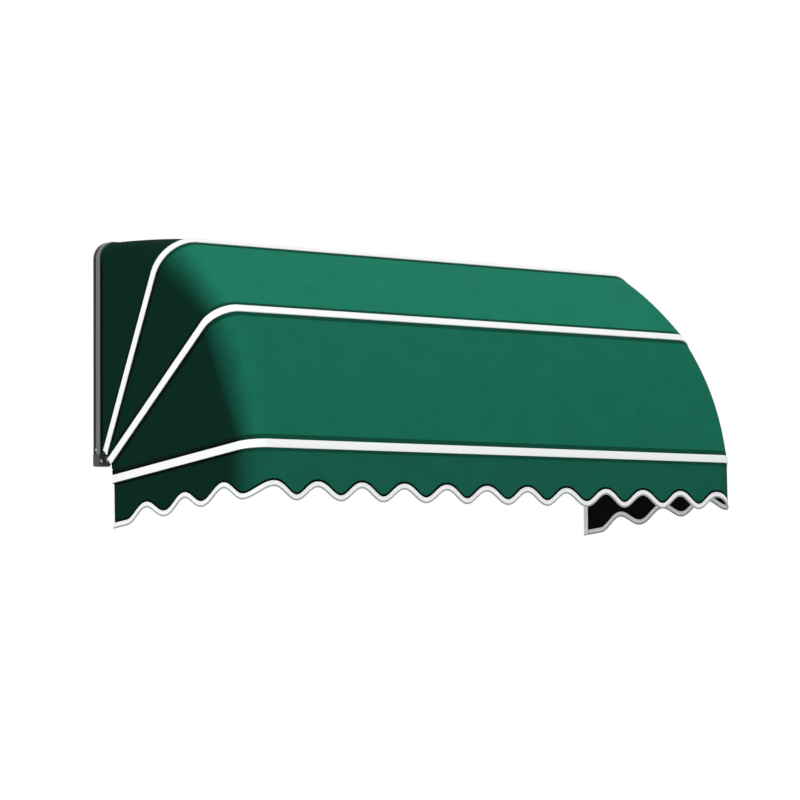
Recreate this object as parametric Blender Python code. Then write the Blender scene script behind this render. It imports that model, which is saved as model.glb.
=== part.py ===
"""Folding basket awning for a window: a wall frame, three hinged hoops and the canopy between them.

Run with: blender --background --python part.py
Metres, +Z up.  The wall is the plane y = 0 and the canopy stands out towards -Y.
The origin is the middle of the top rail's back face.
"""

import math

import bmesh
import bpy
from mathutils import Vector

# Overall sizes
AWNING_WIDTH = 2.000            # over the outer faces of the hoop arms
FRAME_RISE = 0.720              # pivot axis up to the top face of the rail
PIVOT_OUT = 0.070               # pivot axis out from the wall
OPEN_ANGLES = (62.0, 35.5, 5.5)     # upper, middle and front hoop above the horizontal, degrees
BAR_REACH = (0.776, 0.795, 0.850)   # pivot axis to the outer face of each hoop's bar
HOOP_OFFSET = (-0.008, 0.024, 0.072)    # hoop plane beside the pivot axis, so the hoops stack
ARM_START = (0.022, 0.0205, 0.040)      # pivot axis to the cut end of each hoop's arm
HOOP_CORNER = (0.125, 0.090, 0.070)     # outside radius where each hoop's arm turns into its bar

# Hoop extrusion
HOOP_FACE = 0.026
HOOP_DEPTH = 0.024
HOOP_WALL = 0.002
HOOP_EDGE = 0.002               # chamfer along the extrusion's edges
GROOVE_IN = 0.005               # keder groove centre behind the outer face
GROOVE_NECK = 0.0030
GROOVE_POCKET = 0.0030          # radius of the round pocket behind the neck
POCKET_DEPTH = 0.0046           # pocket centre below the grooved face
GROOVE_WALL = 0.0015            # between the pocket and the hollow beside it

# Wall frame extrusion
FRAME_DEPTH = 0.040             # out from the wall
FRAME_FACE = 0.025
FRAME_WALL = 0.002
FRAME_EDGE = 0.003              # chamfer along the front edges
FRAME_CORNER = 0.060
FRAME_FOOT = 0.018              # cut end of the upright above the pivot axis

# Cloth
CLOTH = 0.0015
BEAD = 0.0023                   # radius of the keder rope in the cloth's edge
PANEL_SWELL = (0.006, 0.012, 0.030)     # how far each panel stands out beyond a flat span
NECK_LENGTH = 0.0015            # cloth runs straight this far out of its groove
VALANCE_DROP = 0.155            # lower face of the front hoop to the lowest point of the hem
SIDE_VALANCE_DROP = 0.142       # the same on the sides
SCALLOP_DEPTH = 0.042
FRONT_PITCH = 0.1655
SIDE_PITCH = 0.223
SIDE_LOBES = 4                  # from the last front notch to the wall end
BINDING = 0.014                 # height of the hem tape
TAPE = 0.0006                   # thickness of the hem tape

# Hinges
GAP = 0.0003                    # between pieces that touch in the real awning
LEAF = 0.0040
LEAF_STEP = 0.0045              # from one leaf's layer on the pin to the next
LEAF_WIDTH = 0.018
LEAF_GRIP = 0.055               # length of a leaf along its arm
EYE_RADIUS = 0.011
PIN_RADIUS = 0.0040
PIN_CLEARANCE = 0.00009
CHEEK = 0.006
CASTING_DROP = 0.022            # casting below the pivot axis
CASTING_EDGE = 0.006            # rounding of the casting's lower edges
CASTING_SCREW_IN = 0.009        # wall screw from the casting's outer face
CASTING_SCREW_DROP = 0.004      # wall screw below the pivot axis
SPIGOT_RISE = 0.045

# Fasteners
RIVET_SHANK = 0.0024
RIVET_HEAD = 0.0042
RIVET_PITCH = 0.026
RIVET_START = 0.017             # first rivet from the cut end of its arm
SCREW_SHANK = 0.0029
SCREW_HEAD = 0.0062
SCREW_HEAD_HEIGHT = 0.0034

# Wall brackets and cord eyes
BRACKET_LENGTH = 0.034
BRACKET_LEG = 0.032
BRACKET_THICK = 0.003
RAIL_BRACKET_X = 0.560
SIDE_BRACKET_Z = -0.330
EYE_X = 0.430
EYE_PLATE = 0.003
EYE_LENGTH = 0.024
EYE_HOLE = 0.0055

# Mesh fineness
CORNER_STEPS = 8
PIN_SIDES = 24
ROUND_SIDES = 12
LOBE_STEPS = 6
SWELL_ROWS = 6
ROW_SPACING = 0.004             # least distance between two rows of the valance

HALF_WIDTH = AWNING_WIDTH / 2
PIVOT_Z = FRAME_FACE / 2 - FRAME_RISE
HOOP_NAMES = ("upper_hoop", "middle_hoop", "front_hoop")
SIDES = {"left": -1, "right": 1}
OUTWARD = Vector((0.0, -1.0, 0.0))      # away from the wall

FINISHES = {
    "white_powder_coat": ((0.86, 0.87, 0.86), 0.0, 0.35),
    "anthracite_powder_coat": ((0.045, 0.048, 0.050), 0.0, 0.40),
    "green_cloth": ((0.012, 0.150, 0.090), 0.0, 0.85),
    "white_tape": ((0.84, 0.86, 0.85), 0.0, 0.75),
    "zinc_plated_steel": ((0.62, 0.63, 0.65), 1.0, 0.35),
    "stainless_steel": ((0.58, 0.58, 0.57), 1.0, 0.28),
    "cast_aluminium": ((0.090, 0.092, 0.095), 0.0, 0.50),
}


def clear_scene():
    for item in list(bpy.data.objects):
        bpy.data.objects.remove(item, do_unlink=True)


def add_object(name, mesh_data, finish, origin=Vector((0.0, 0.0, 0.0))):
    """Turn a bmesh in world coordinates into an object whose origin is the given point."""
    bmesh.ops.translate(mesh_data, verts=mesh_data.verts, vec=-origin)
    bmesh.ops.recalc_face_normals(mesh_data, faces=mesh_data.faces)
    bmesh.ops.triangulate(mesh_data, faces=mesh_data.faces)
    mesh = bpy.data.meshes.new(name)
    mesh_data.to_mesh(mesh)
    mesh_data.free()
    item = bpy.data.objects.new(name, mesh)
    item.location = origin
    bpy.context.scene.collection.objects.link(item)
    colour, metallic, roughness = FINISHES[finish]
    material = bpy.data.materials.new(f"{name}_{finish}")
    material.use_nodes = True
    shader = material.node_tree.nodes["Principled BSDF"]
    shader.inputs["Base Color"].default_value = (*colour, 1.0)
    shader.inputs["Metallic"].default_value = metallic
    shader.inputs["Roughness"].default_value = roughness
    material.diffuse_color = (*colour, 1.0)
    mesh.materials.append(material)
    return item


def combine(item, operation, cutters):
    """Apply one exact Boolean per cutter to the object, then drop the cutters."""
    for cutter in cutters:
        step = item.modifiers.new("step", "BOOLEAN")
        step.operation = operation
        step.solver = "EXACT"
        step.object = cutter
        bpy.context.view_layer.update()
        depsgraph = bpy.context.evaluated_depsgraph_get()
        result = bpy.data.meshes.new_from_object(item.evaluated_get(depsgraph))
        item.modifiers.clear()
        old_mesh = item.data
        name = old_mesh.name
        item.data = result
        bpy.data.meshes.remove(old_mesh)
        result.name = name
        cutter_mesh = cutter.data
        bpy.data.objects.remove(cutter)
        bpy.data.meshes.remove(cutter_mesh)


def plain_object(name, mesh_data):
    """A body for combine(): no material, outward faces, world coordinates."""
    bmesh.ops.recalc_face_normals(mesh_data, faces=mesh_data.faces)
    mesh = bpy.data.meshes.new(name)
    mesh_data.to_mesh(mesh)
    mesh_data.free()
    item = bpy.data.objects.new(name, mesh)
    bpy.context.scene.collection.objects.link(item)
    return item


def place(x, out, up):
    """World point from a distance across, out from the wall and up from the rail."""
    return Vector((x, -out, up))


def hoop_axes(angle):
    """Unit vectors, as (out, up): along a hoop's arms, and across its plane towards the front."""
    turn = math.radians(angle)
    return (math.cos(turn), math.sin(turn)), (math.sin(turn), -math.cos(turn))


def hoop_place(angle, reach, x, across):
    """World point from hoop coordinates: reach along the arm, x, and distance across the plane."""
    along, normal = hoop_axes(angle)
    out = PIVOT_OUT + reach * along[0] + across * normal[0]
    up = PIVOT_Z + reach * along[1] + across * normal[1]
    return place(x, out, up)


def u_stations(start, bar, corner, arm_stops=(), bar_steps=1):
    """Outer line of a U as (reach, x, normal reach, normal x), from the left arm to the right one."""
    left = [(start, -HALF_WIDTH, 0.0, -1.0)]
    for stop in arm_stops:
        left.append((start + (bar - corner - start) * stop, -HALF_WIDTH, 0.0, -1.0))
    for step in range(CORNER_STEPS + 1):
        turn = math.pi / 2 * step / CORNER_STEPS
        reach = bar - corner + corner * math.sin(turn)
        left.append((reach, -HALF_WIDTH + corner - corner * math.cos(turn), math.sin(turn), -math.cos(turn)))
    right = [(reach, -x, along, -across) for reach, x, along, across in reversed(left)]
    inner = []
    for step in range(1, bar_steps):
        x = (HALF_WIDTH - corner) * (2 * step / bar_steps - 1)
        inner.append((bar, x, 1.0, 0.0))
    return left + inner + right


def sweep(rings, hollow_rings=None):
    """Closed body along matching rings of points, with a through hollow where a second set is given."""
    mesh_data = bmesh.new()

    def skin(ring_list):
        made = [[mesh_data.verts.new(point) for point in ring] for ring in ring_list]
        for first, second in zip(made, made[1:]):
            for index in range(len(first)):
                after = (index + 1) % len(first)
                mesh_data.faces.new((first[index], first[after], second[after], second[index]))
        return made

    def edges_of(ring):
        return [mesh_data.edges.get((ring[i - 1], ring[i])) for i in range(len(ring))]

    outer = skin(rings)
    if hollow_rings is None:
        mesh_data.faces.new(outer[0])
        mesh_data.faces.new(outer[-1])
        return mesh_data
    inner = skin(hollow_rings)
    for end in (0, -1):
        edges = edges_of(outer[end]) + edges_of(inner[end])
        bmesh.ops.triangle_fill(mesh_data, use_beauty=True, use_dissolve=False, edges=edges)
    return mesh_data


def groove_outline(face_at, sign):
    """Points of one keder groove as (inset, across), in the face at the given distance across."""
    half = GROOVE_NECK / 2
    meet = math.asin(half / GROOVE_POCKET)
    points = [(GROOVE_IN - half, face_at)]
    for step in range(7):
        turn = meet + (2 * math.pi - 2 * meet) * step / 6
        inset = GROOVE_IN - GROOVE_POCKET * math.sin(turn)
        points.append((inset, face_at - sign * (POCKET_DEPTH - GROOVE_POCKET * math.cos(turn))))
    points.append((GROOVE_IN + half, face_at))
    return points


def hoop_profile():
    """Outline of the hoop extrusion as (inset from the outer face, across), grooved on both faces."""
    half = HOOP_FACE / 2
    front = groove_outline(half, 1)
    back = groove_outline(-half, -1)
    corner = HOOP_EDGE
    outline = [(0.0, -half + corner), (0.0, half - corner), (corner * 0.6, half)]
    outline += front
    outline += [(HOOP_DEPTH - corner, half), (HOOP_DEPTH, half - corner)]
    outline += [(HOOP_DEPTH, -half + corner), (HOOP_DEPTH - corner, -half)]
    outline += reversed(back)
    outline += [(corner * 0.6, -half)]
    return outline


def frame_profile():
    """Outline of the wall frame extrusion, grooved on its front face only."""
    half = FRAME_DEPTH / 2
    corner = FRAME_EDGE
    outline = [(0.0, -half), (0.0, half - corner), (corner * 0.4, half)]
    outline += groove_outline(half, 1)
    outline += [(FRAME_FACE - corner, half), (FRAME_FACE, half - corner), (FRAME_FACE, -half)]
    return outline


def box_outline(inset_low, inset_high, half):
    return [(inset_low, -half), (inset_low, half), (inset_high, half), (inset_high, -half)]


def profile_rings(stations, outline, angle, offset):
    rings = []
    for reach, x, along, across in stations:
        ring = []
        for inset, side in outline:
            ring.append(hoop_place(angle, reach - inset * along, x - inset * across, offset + side))
        rings.append(ring)
    return rings


def prism(outline, axis_low, axis_high, to_world):
    """Straight prism: a flat outline of (a, b) points between two distances c, through to_world."""
    mesh_data = bmesh.new()
    low = [mesh_data.verts.new(to_world(a, b, axis_low)) for a, b in outline]
    high = [mesh_data.verts.new(to_world(a, b, axis_high)) for a, b in outline]
    count = len(outline)
    for index in range(count):
        after = (index + 1) % count
        mesh_data.faces.new((low[index], low[after], high[after], high[index]))
    mesh_data.faces.new(low)
    mesh_data.faces.new(list(reversed(high)))
    return mesh_data


def circle(centre_a, centre_b, radius, sides, phase=0.5):
    points = []
    for step in range(sides):
        turn = 2 * math.pi * (step + phase) / sides
        points.append((centre_a + radius * math.cos(turn), centre_b + radius * math.sin(turn)))
    return points


def turned(profile, sides, start, axis):
    """Body of revolution: (distance, radius) pairs along a unit axis from a start point."""
    mesh_data = bmesh.new()
    axis = axis.normalized()
    side_a = axis.orthogonal().normalized()
    side_b = axis.cross(side_a)
    rings = []
    for distance, radius in profile:
        ring = []
        for a, b in circle(0.0, 0.0, radius, sides):
            ring.append(mesh_data.verts.new(start + axis * distance + side_a * a + side_b * b))
        rings.append(ring)
    for first, second in zip(rings, rings[1:]):
        for index in range(sides):
            after = (index + 1) % sides
            mesh_data.faces.new((first[index], first[after], second[after], second[index]))
    mesh_data.faces.new(rings[0])
    mesh_data.faces.new(list(reversed(rings[-1])))
    return mesh_data


def pivot_point(x=0.0):
    return place(x, PIVOT_OUT, PIVOT_Z)


def leaf_layer(number):
    """Inner and outer distance from the middle of the leaf layer: 0 lies on the arm's inner face."""
    outer = HALF_WIDTH - HOOP_DEPTH - GAP - LEAF_STEP * number
    return outer - LEAF, outer


def rivet_reaches(number):
    first = ARM_START[number] + RIVET_START
    return first, first + RIVET_PITCH


def screw_profile(length):
    """Pan head screw or rivet, head first, with the shank ending at the given distance."""
    return [
        (-SCREW_HEAD_HEIGHT, SCREW_HEAD * 0.62),
        (-SCREW_HEAD_HEIGHT * 0.55, SCREW_HEAD * 0.95),
        (0.0, SCREW_HEAD),
        (0.0, SCREW_SHANK),
        (length, SCREW_SHANK),
    ]


def rivet_profile(grip):
    """Blind rivet: domed head, shank, and the tail set on the far side of the grip."""
    return [
        (-0.0016, RIVET_HEAD * 0.5),
        (-0.0009, RIVET_HEAD * 0.9),
        (0.0, RIVET_HEAD),
        (0.0, RIVET_SHANK),
        (grip, RIVET_SHANK),
        (grip, RIVET_SHANK * 1.35),
        (grip + 0.0016, RIVET_SHANK * 1.35),
    ]


# Hoops


def make_hoop(number):
    angle = OPEN_ANGLES[number]
    offset = HOOP_OFFSET[number]
    stations = u_stations(ARM_START[number], BAR_REACH[number], HOOP_CORNER[number])
    outer = profile_rings(stations, hoop_profile(), angle, offset)
    hollow_low = GROOVE_IN + GROOVE_POCKET + GROOVE_WALL
    hollow = box_outline(hollow_low, HOOP_DEPTH - HOOP_WALL, HOOP_FACE / 2 - HOOP_WALL)
    inner = profile_rings(stations, hollow, angle, offset)
    item = add_object(HOOP_NAMES[number], sweep(outer, inner), "white_powder_coat", pivot_point())
    cutters = []
    for side in SIDES.values():
        for reach in rivet_reaches(number):
            start = hoop_place(angle, reach, side * (HALF_WIDTH - HOOP_DEPTH - 0.003), offset)
            profile = [(0.0, RIVET_SHANK + GAP), (0.003 + HOOP_WALL * 2, RIVET_SHANK + GAP)]
            cutters.append(plain_object("cutter", turned(profile, ROUND_SIDES, start, Vector((side, 0, 0)))))
    combine(item, "DIFFERENCE", cutters)
    return item


def leaf_outline(number):
    """Leaf as stations (reach, across, half width, layer): from beside the eye to the grip's end."""
    offset = HOOP_OFFSET[number]
    start = ARM_START[number]
    half = LEAF_WIDTH / 2
    grip_end = start + LEAF_GRIP
    bend_reach = start + 0.006
    length = math.hypot(bend_reach, offset)
    lean = (bend_reach / length, offset / length)
    layer = float(number)
    root = EYE_RADIUS * 0.80
    stations = [(lean[0] * root, lean[1] * root, half * 0.88, lean, layer)]
    if number:
        crank_start = max(root + 0.004, length * 0.62)
        crank_end = max(crank_start + 0.008, length * 0.86)
        stations.append((lean[0] * crank_start, lean[1] * crank_start, half, lean, layer))
        stations.append((lean[0] * crank_end, lean[1] * crank_end, half, lean, 0.0))
    middle = Vector((lean[0] + 1.0, lean[1], 0.0)).normalized()
    stations.append((bend_reach + 0.004, offset, half * 1.04, (middle.x, middle.y), 0.0))
    stations.append((grip_end - half, offset, half, (1.0, 0.0), 0.0))
    stations.append((grip_end - half * 0.35, offset, half * 0.76, (1.0, 0.0), 0.0))
    stations.append((grip_end, offset, half * 0.30, (1.0, 0.0), 0.0))
    return stations, lean, layer


def make_leaf(number, side_name):
    """Cranked steel leaf: an eye on the pin, set over to lie on the inner face of its arm."""
    side = SIDES[side_name]
    angle = OPEN_ANGLES[number]
    stations, lean, layer = leaf_outline(number)

    def point(reach, across, depth_layer, outer):
        inner_x, outer_x = leaf_layer(depth_layer)
        x = side * (outer_x if outer else inner_x)
        return hoop_place(angle, reach, x, across)

    mesh_data = bmesh.new()
    first = stations[0]
    hole = circle(0.0, 0.0, PIN_RADIUS + PIN_CLEARANCE, PIN_SIDES)
    lean_turn = math.atan2(lean[1], lean[0])
    corner_turn = math.atan2(first[2], EYE_RADIUS * 0.80)
    eye = []
    for step in range(13):
        turn = lean_turn + corner_turn + (2 * math.pi - 2 * corner_turn) * step / 12
        eye.append((EYE_RADIUS * math.cos(turn), EYE_RADIUS * math.sin(turn)))
    rows = {}
    for outer in (False, True):
        row = []
        for reach, across, half, direction, depth_layer in stations[1:]:
            left = (reach - direction[1] * half, across + direction[0] * half)
            right = (reach + direction[1] * half, across - direction[0] * half)
            row.append([mesh_data.verts.new(point(*spot, depth_layer, outer)) for spot in (left, right)])
        ring = [mesh_data.verts.new(point(a, b, layer, outer)) for a, b in eye]
        bore = [mesh_data.verts.new(point(a, b, layer, outer)) for a, b in hole]
        edges = [mesh_data.edges.new((ring[i], ring[i + 1])) for i in range(12)]
        edges.append(mesh_data.edges.new((ring[12], ring[0])))
        edges += [mesh_data.edges.new((bore[i - 1], bore[i])) for i in range(PIN_SIDES)]
        bmesh.ops.triangle_fill(mesh_data, use_beauty=True, use_dissolve=False, edges=edges)
        row.insert(0, [ring[0], ring[12]])
        for near, far in zip(row, row[1:]):
            mesh_data.faces.new((near[0], far[0], far[1], near[1]))
        rows[outer] = (row, ring, bore)
    low_row, low_ring, low_bore = rows[False]
    high_row, high_ring, high_bore = rows[True]
    for index in range(12):
        mesh_data.faces.new((low_ring[index], low_ring[index + 1], high_ring[index + 1], high_ring[index]))
    for index in range(PIN_SIDES):
        mesh_data.faces.new((low_bore[index - 1], low_bore[index], high_bore[index], high_bore[index - 1]))
    for index in range(len(low_row) - 1):
        for edge in (0, 1):
            mesh_data.faces.new((
                low_row[index][edge], low_row[index + 1][edge],
                high_row[index + 1][edge], high_row[index][edge],
            ))
    mesh_data.faces.new((low_row[-1][0], low_row[-1][1], high_row[-1][1], high_row[-1][0]))
    name = f"{HOOP_NAMES[number]}_leaf_{side_name}"
    item = add_object(name, mesh_data, "zinc_plated_steel", pivot_point())
    inner_x = leaf_layer(0)[0]
    cutters = []
    for reach in rivet_reaches(number):
        start = hoop_place(angle, reach, side * (inner_x - 0.002), HOOP_OFFSET[number])
        profile = [(0.0, RIVET_SHANK + GAP), (LEAF + 0.004, RIVET_SHANK + GAP)]
        cutters.append(plain_object("cutter", turned(profile, ROUND_SIDES, start, Vector((side, 0, 0)))))
    combine(item, "DIFFERENCE", cutters)
    for index, reach in enumerate(rivet_reaches(number), start=1):
        start = hoop_place(angle, reach, side * (inner_x - GAP), HOOP_OFFSET[number])
        grip = GAP + LEAF + GAP + HOOP_WALL + GAP
        rivet = turned(rivet_profile(grip), ROUND_SIDES, start, Vector((side, 0, 0)))
        add_object(f"{name}_rivet_{index}", rivet, "zinc_plated_steel", pivot_point())


# Wall frame, hinge castings and pins


def make_wall_frame():
    stations = u_stations(FRAME_FOOT, FRAME_RISE, FRAME_CORNER)
    offset = FRAME_DEPTH / 2 - PIVOT_OUT
    outer = profile_rings(stations, frame_profile(), 90.0, offset)
    hollow_low = GROOVE_IN + GROOVE_POCKET + GROOVE_WALL
    hollow = box_outline(hollow_low, FRAME_FACE - FRAME_WALL, FRAME_DEPTH / 2 - FRAME_WALL)
    inner = profile_rings(stations, hollow, 90.0, offset)
    item = add_object("wall_frame", sweep(outer, inner), "anthracite_powder_coat")
    cutters = []
    for side in SIDES.values():
        start = place(side * (HALF_WIDTH + 0.002), FRAME_DEPTH / 2, spigot_rivet_z())
        hole = [(0.0, RIVET_SHANK + GAP), (0.014, RIVET_SHANK + GAP)]
        cutters.append(plain_object("cutter", turned(hole, ROUND_SIDES, start, Vector((-side, 0, 0)))))
    for corner, inward, _ in bracket_places().values():
        start = corner + OUTWARD * (BRACKET_LEG / 2) - inward * (FRAME_WALL * 3)
        hole = [(0.0, SCREW_SHANK + GAP), (FRAME_WALL * 5, SCREW_SHANK + GAP)]
        cutters.append(plain_object("cutter", turned(hole, ROUND_SIDES, start, inward)))
    combine(item, "DIFFERENCE", cutters)


def spigot_rivet_z():
    return PIVOT_Z + FRAME_FOOT + (SPIGOT_RISE - FRAME_FOOT) * 0.55


def make_casting(side_name):
    """Cast foot of the upright: a spigot in its hollow, a block on the wall and two pin cheeks."""
    side = SIDES[side_name]

    def to_world(out, up, x):
        return place(side * x, out, PIVOT_Z + up)

    inner_cheek_high = leaf_layer(2)[0] - GAP
    inner_x = inner_cheek_high - CHEEK
    outer_cheek_low = HALF_WIDTH - HOOP_DEPTH + 0.0002
    top = FRAME_FOOT - GAP
    block = [
        (0.0, -CASTING_DROP + CASTING_EDGE), (CASTING_EDGE, -CASTING_DROP),
        (FRAME_DEPTH - CASTING_EDGE, -CASTING_DROP), (FRAME_DEPTH, -CASTING_DROP + CASTING_EDGE),
        (FRAME_DEPTH, top), (0.0, top),
    ]
    name = f"hinge_casting_{side_name}"
    item = add_object(name, prism(block, inner_x, HALF_WIDTH, to_world), "cast_aluminium")

    hollow_low = GROOVE_IN + GROOVE_POCKET + GROOVE_WALL
    spigot_high = HALF_WIDTH - hollow_low - GAP
    spigot_low = HALF_WIDTH - FRAME_FACE + FRAME_WALL + GAP
    back = FRAME_WALL + GAP
    front = FRAME_DEPTH - FRAME_WALL - GAP
    spigot = [(back, top - 0.004), (front, top - 0.004), (front, SPIGOT_RISE), (back, SPIGOT_RISE)]
    bodies = [plain_object("spigot", prism(spigot, spigot_low, spigot_high, to_world))]

    cheek = [(FRAME_DEPTH - 0.008, top - 0.004), (FRAME_DEPTH - 0.008, -CASTING_DROP + 0.008)]
    for step in range(9):
        turn = math.radians(-75 + 150 * step / 8)
        cheek.append((PIVOT_OUT + EYE_RADIUS * math.cos(turn), EYE_RADIUS * math.sin(turn)))
    for low, high in ((inner_x, inner_cheek_high), (outer_cheek_low, outer_cheek_low + CHEEK)):
        bodies.append(plain_object("cheek", prism(cheek, low, high, to_world)))
    combine(item, "UNION", bodies)

    holes = []
    bore = circle(PIVOT_OUT, 0.0, PIN_RADIUS + PIN_CLEARANCE, PIN_SIDES)
    holes.append(plain_object("bore", prism(bore, inner_x - 0.002, HALF_WIDTH + 0.002, to_world)))
    screw_x = side * (HALF_WIDTH - CASTING_SCREW_IN)
    start = place(screw_x, -0.002, PIVOT_Z - CASTING_SCREW_DROP)
    profile = [(0.0, SCREW_SHANK + GAP), (FRAME_DEPTH + 0.004, SCREW_SHANK + GAP)]
    holes.append(plain_object("hole", turned(profile, ROUND_SIDES, start, Vector((0, -1, 0)))))
    start = place(side * (HALF_WIDTH + 0.002), FRAME_DEPTH / 2, spigot_rivet_z())
    profile = [(0.0, RIVET_SHANK + GAP), (0.030, RIVET_SHANK + GAP)]
    holes.append(plain_object("hole", turned(profile, ROUND_SIDES, start, Vector((-side, 0, 0)))))
    combine(item, "DIFFERENCE", holes)

    start = place(screw_x, FRAME_DEPTH + GAP, PIVOT_Z - CASTING_SCREW_DROP)
    screw = turned(screw_profile(FRAME_DEPTH), ROUND_SIDES, start, Vector((0, 1, 0)))
    add_object(f"{name}_wall_screw", screw, "stainless_steel")
    start = place(side * (HALF_WIDTH + GAP), FRAME_DEPTH / 2, spigot_rivet_z())
    rivet = [(-0.0016, RIVET_HEAD * 0.5), (-0.0009, RIVET_HEAD * 0.9), (0.0, RIVET_HEAD)]
    rivet += [(0.0, RIVET_SHANK), (0.016, RIVET_SHANK)]
    add_object(f"{name}_rivet", turned(rivet, ROUND_SIDES, start, Vector((-side, 0, 0))), "stainless_steel")

    head_x = outer_cheek_low + CHEEK + GAP
    pin = [(-0.0045, 0.0055), (-0.0035, 0.0068), (0.0, 0.0068), (0.0, PIN_RADIUS)]
    thread_end = head_x - inner_x + 0.009
    pin += [(thread_end - 0.001, PIN_RADIUS), (thread_end, PIN_RADIUS - 0.0008)]
    start = pivot_point(side * head_x)
    body = pin_body(pin, start, side)
    add_object(f"pivot_pin_{side_name}", body, "stainless_steel")
    nut = hex_nut(side, inner_x - GAP)
    add_object(f"pivot_nut_{side_name}", nut, "stainless_steel")


def pin_body(profile, start, side):
    """Turned pin whose facets line up with the bores of the leaves and cheeks."""
    mesh_data = bmesh.new()
    rings = []
    for distance, radius in profile:
        ring = []
        for a, b in circle(0.0, 0.0, radius, PIN_SIDES):
            ring.append(mesh_data.verts.new(start + Vector((-side * distance, -a, b))))
        rings.append(ring)
    for first, second in zip(rings, rings[1:]):
        for index in range(PIN_SIDES):
            after = (index + 1) % PIN_SIDES
            mesh_data.faces.new((first[index], first[after], second[after], second[index]))
    mesh_data.faces.new(rings[0])
    mesh_data.faces.new(list(reversed(rings[-1])))
    return mesh_data


def hex_nut(side, outer_x, thickness=0.0060):
    mesh_data = bmesh.new()
    centre = pivot_point()
    layers = []
    for x in (outer_x, outer_x - thickness):
        rim = []
        for a, b in circle(0.0, 0.0, 0.0075, 6):
            rim.append(mesh_data.verts.new(Vector((side * x, centre.y + a, centre.z + b))))
        bore = []
        for a, b in circle(0.0, 0.0, PIN_RADIUS + PIN_CLEARANCE, PIN_SIDES):
            bore.append(mesh_data.verts.new(Vector((side * x, centre.y + a, centre.z + b))))
        edges = [mesh_data.edges.new((rim[i - 1], rim[i])) for i in range(6)]
        edges += [mesh_data.edges.new((bore[i - 1], bore[i])) for i in range(PIN_SIDES)]
        bmesh.ops.triangle_fill(mesh_data, use_beauty=True, use_dissolve=False, edges=edges)
        layers.append((rim, bore))
    for kind in (0, 1):
        near, far = layers[0][kind], layers[1][kind]
        for index in range(len(near)):
            mesh_data.faces.new((near[index - 1], near[index], far[index], far[index - 1]))
    return mesh_data


# Wall brackets and cord eyes


def bracket_places():
    """For each wall bracket: its corner on the wall and the frame, the way inward, and along the frame."""
    places = {}
    for side_name, side in SIDES.items():
        rail_corner = place(side * RAIL_BRACKET_X, 0.0, FRAME_FACE / 2 - FRAME_FACE)
        places[f"rail_bracket_{side_name}"] = (rail_corner, Vector((0, 0, -1)), Vector((1, 0, 0)))
        upright_corner = place(side * (HALF_WIDTH - FRAME_FACE), 0.0, SIDE_BRACKET_Z)
        places[f"side_bracket_{side_name}"] = (upright_corner, Vector((-side, 0, 0)), Vector((0, 0, 1)))
    return places


def make_bracket(name, corner, inward, along):
    """Steel angle: one leg flat on the wall, one on the frame's inner face, with a screw in each.

    It is made around its own corner and then moved, so it is the same wherever it stands.
    """
    thick = BRACKET_THICK
    leg = BRACKET_LEG
    bend = thick * 0.7
    outline = [
        (0.0, GAP), (leg, GAP), (leg, GAP + thick),
        (thick + bend, GAP + thick), (thick, GAP + thick + bend),
        (thick, leg), (0.0, leg),
    ]

    def local(out, inward_by, along_by):
        return OUTWARD * out + inward * inward_by + along * along_by

    half = BRACKET_LENGTH / 2
    bracket = add_object(name, prism(outline, -half, half, local), "zinc_plated_steel")
    hole = [(0.0, SCREW_SHANK + GAP), (thick * 3, SCREW_SHANK + GAP)]
    wall_at = leg * 0.60
    cutters = []
    for start, axis in ((local(-thick, wall_at, 0.0), OUTWARD), (local(leg / 2, -thick, 0.0), inward)):
        cutters.append(plain_object("hole", turned(hole, ROUND_SIDES, start, axis)))
    combine(bracket, "DIFFERENCE", cutters)
    start = local(thick + GAP, wall_at, 0.0)
    body = turned(screw_profile(thick), ROUND_SIDES, start, -OUTWARD)
    wall_screw = add_object(f"{name}_wall_screw", body, "stainless_steel")
    start = local(leg / 2, GAP + thick + GAP, 0.0)
    body = turned(screw_profile(thick + FRAME_WALL * 4), ROUND_SIDES, start, -inward)
    frame_screw = add_object(f"{name}_frame_screw", body, "stainless_steel")
    for item in (bracket, wall_screw, frame_screw):
        item.location = corner


def eye_body(to_world):
    """Flat lug with a round end and a hole for the pull cord; a is away from its bar."""
    mesh_data = bmesh.new()
    half_width = 0.011
    outline = [(GAP, -half_width - 0.006), (0.004, -half_width)]
    centre = EYE_LENGTH - half_width
    for step in range(9):
        turn = -math.pi / 2 + math.pi * step / 8
        outline.append((centre + half_width * math.cos(turn), half_width * math.sin(turn)))
    outline += [(0.004, half_width), (GAP, half_width + 0.006)]
    layers = []
    for c in (-EYE_PLATE / 2, EYE_PLATE / 2):
        rim = [mesh_data.verts.new(to_world(a, b, c)) for a, b in outline]
        bore = [mesh_data.verts.new(to_world(a, b, c)) for a, b in circle(centre, 0.0, EYE_HOLE, ROUND_SIDES)]
        edges = [mesh_data.edges.new((rim[i - 1], rim[i])) for i in range(len(rim))]
        edges += [mesh_data.edges.new((bore[i - 1], bore[i])) for i in range(ROUND_SIDES)]
        bmesh.ops.triangle_fill(mesh_data, use_beauty=True, use_dissolve=False, edges=edges)
        layers.append((rim, bore))
    for kind in (0, 1):
        near, far = layers[0][kind], layers[1][kind]
        for index in range(len(near)):
            mesh_data.faces.new((near[index - 1], near[index], far[index], far[index - 1]))
    return mesh_data


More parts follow.
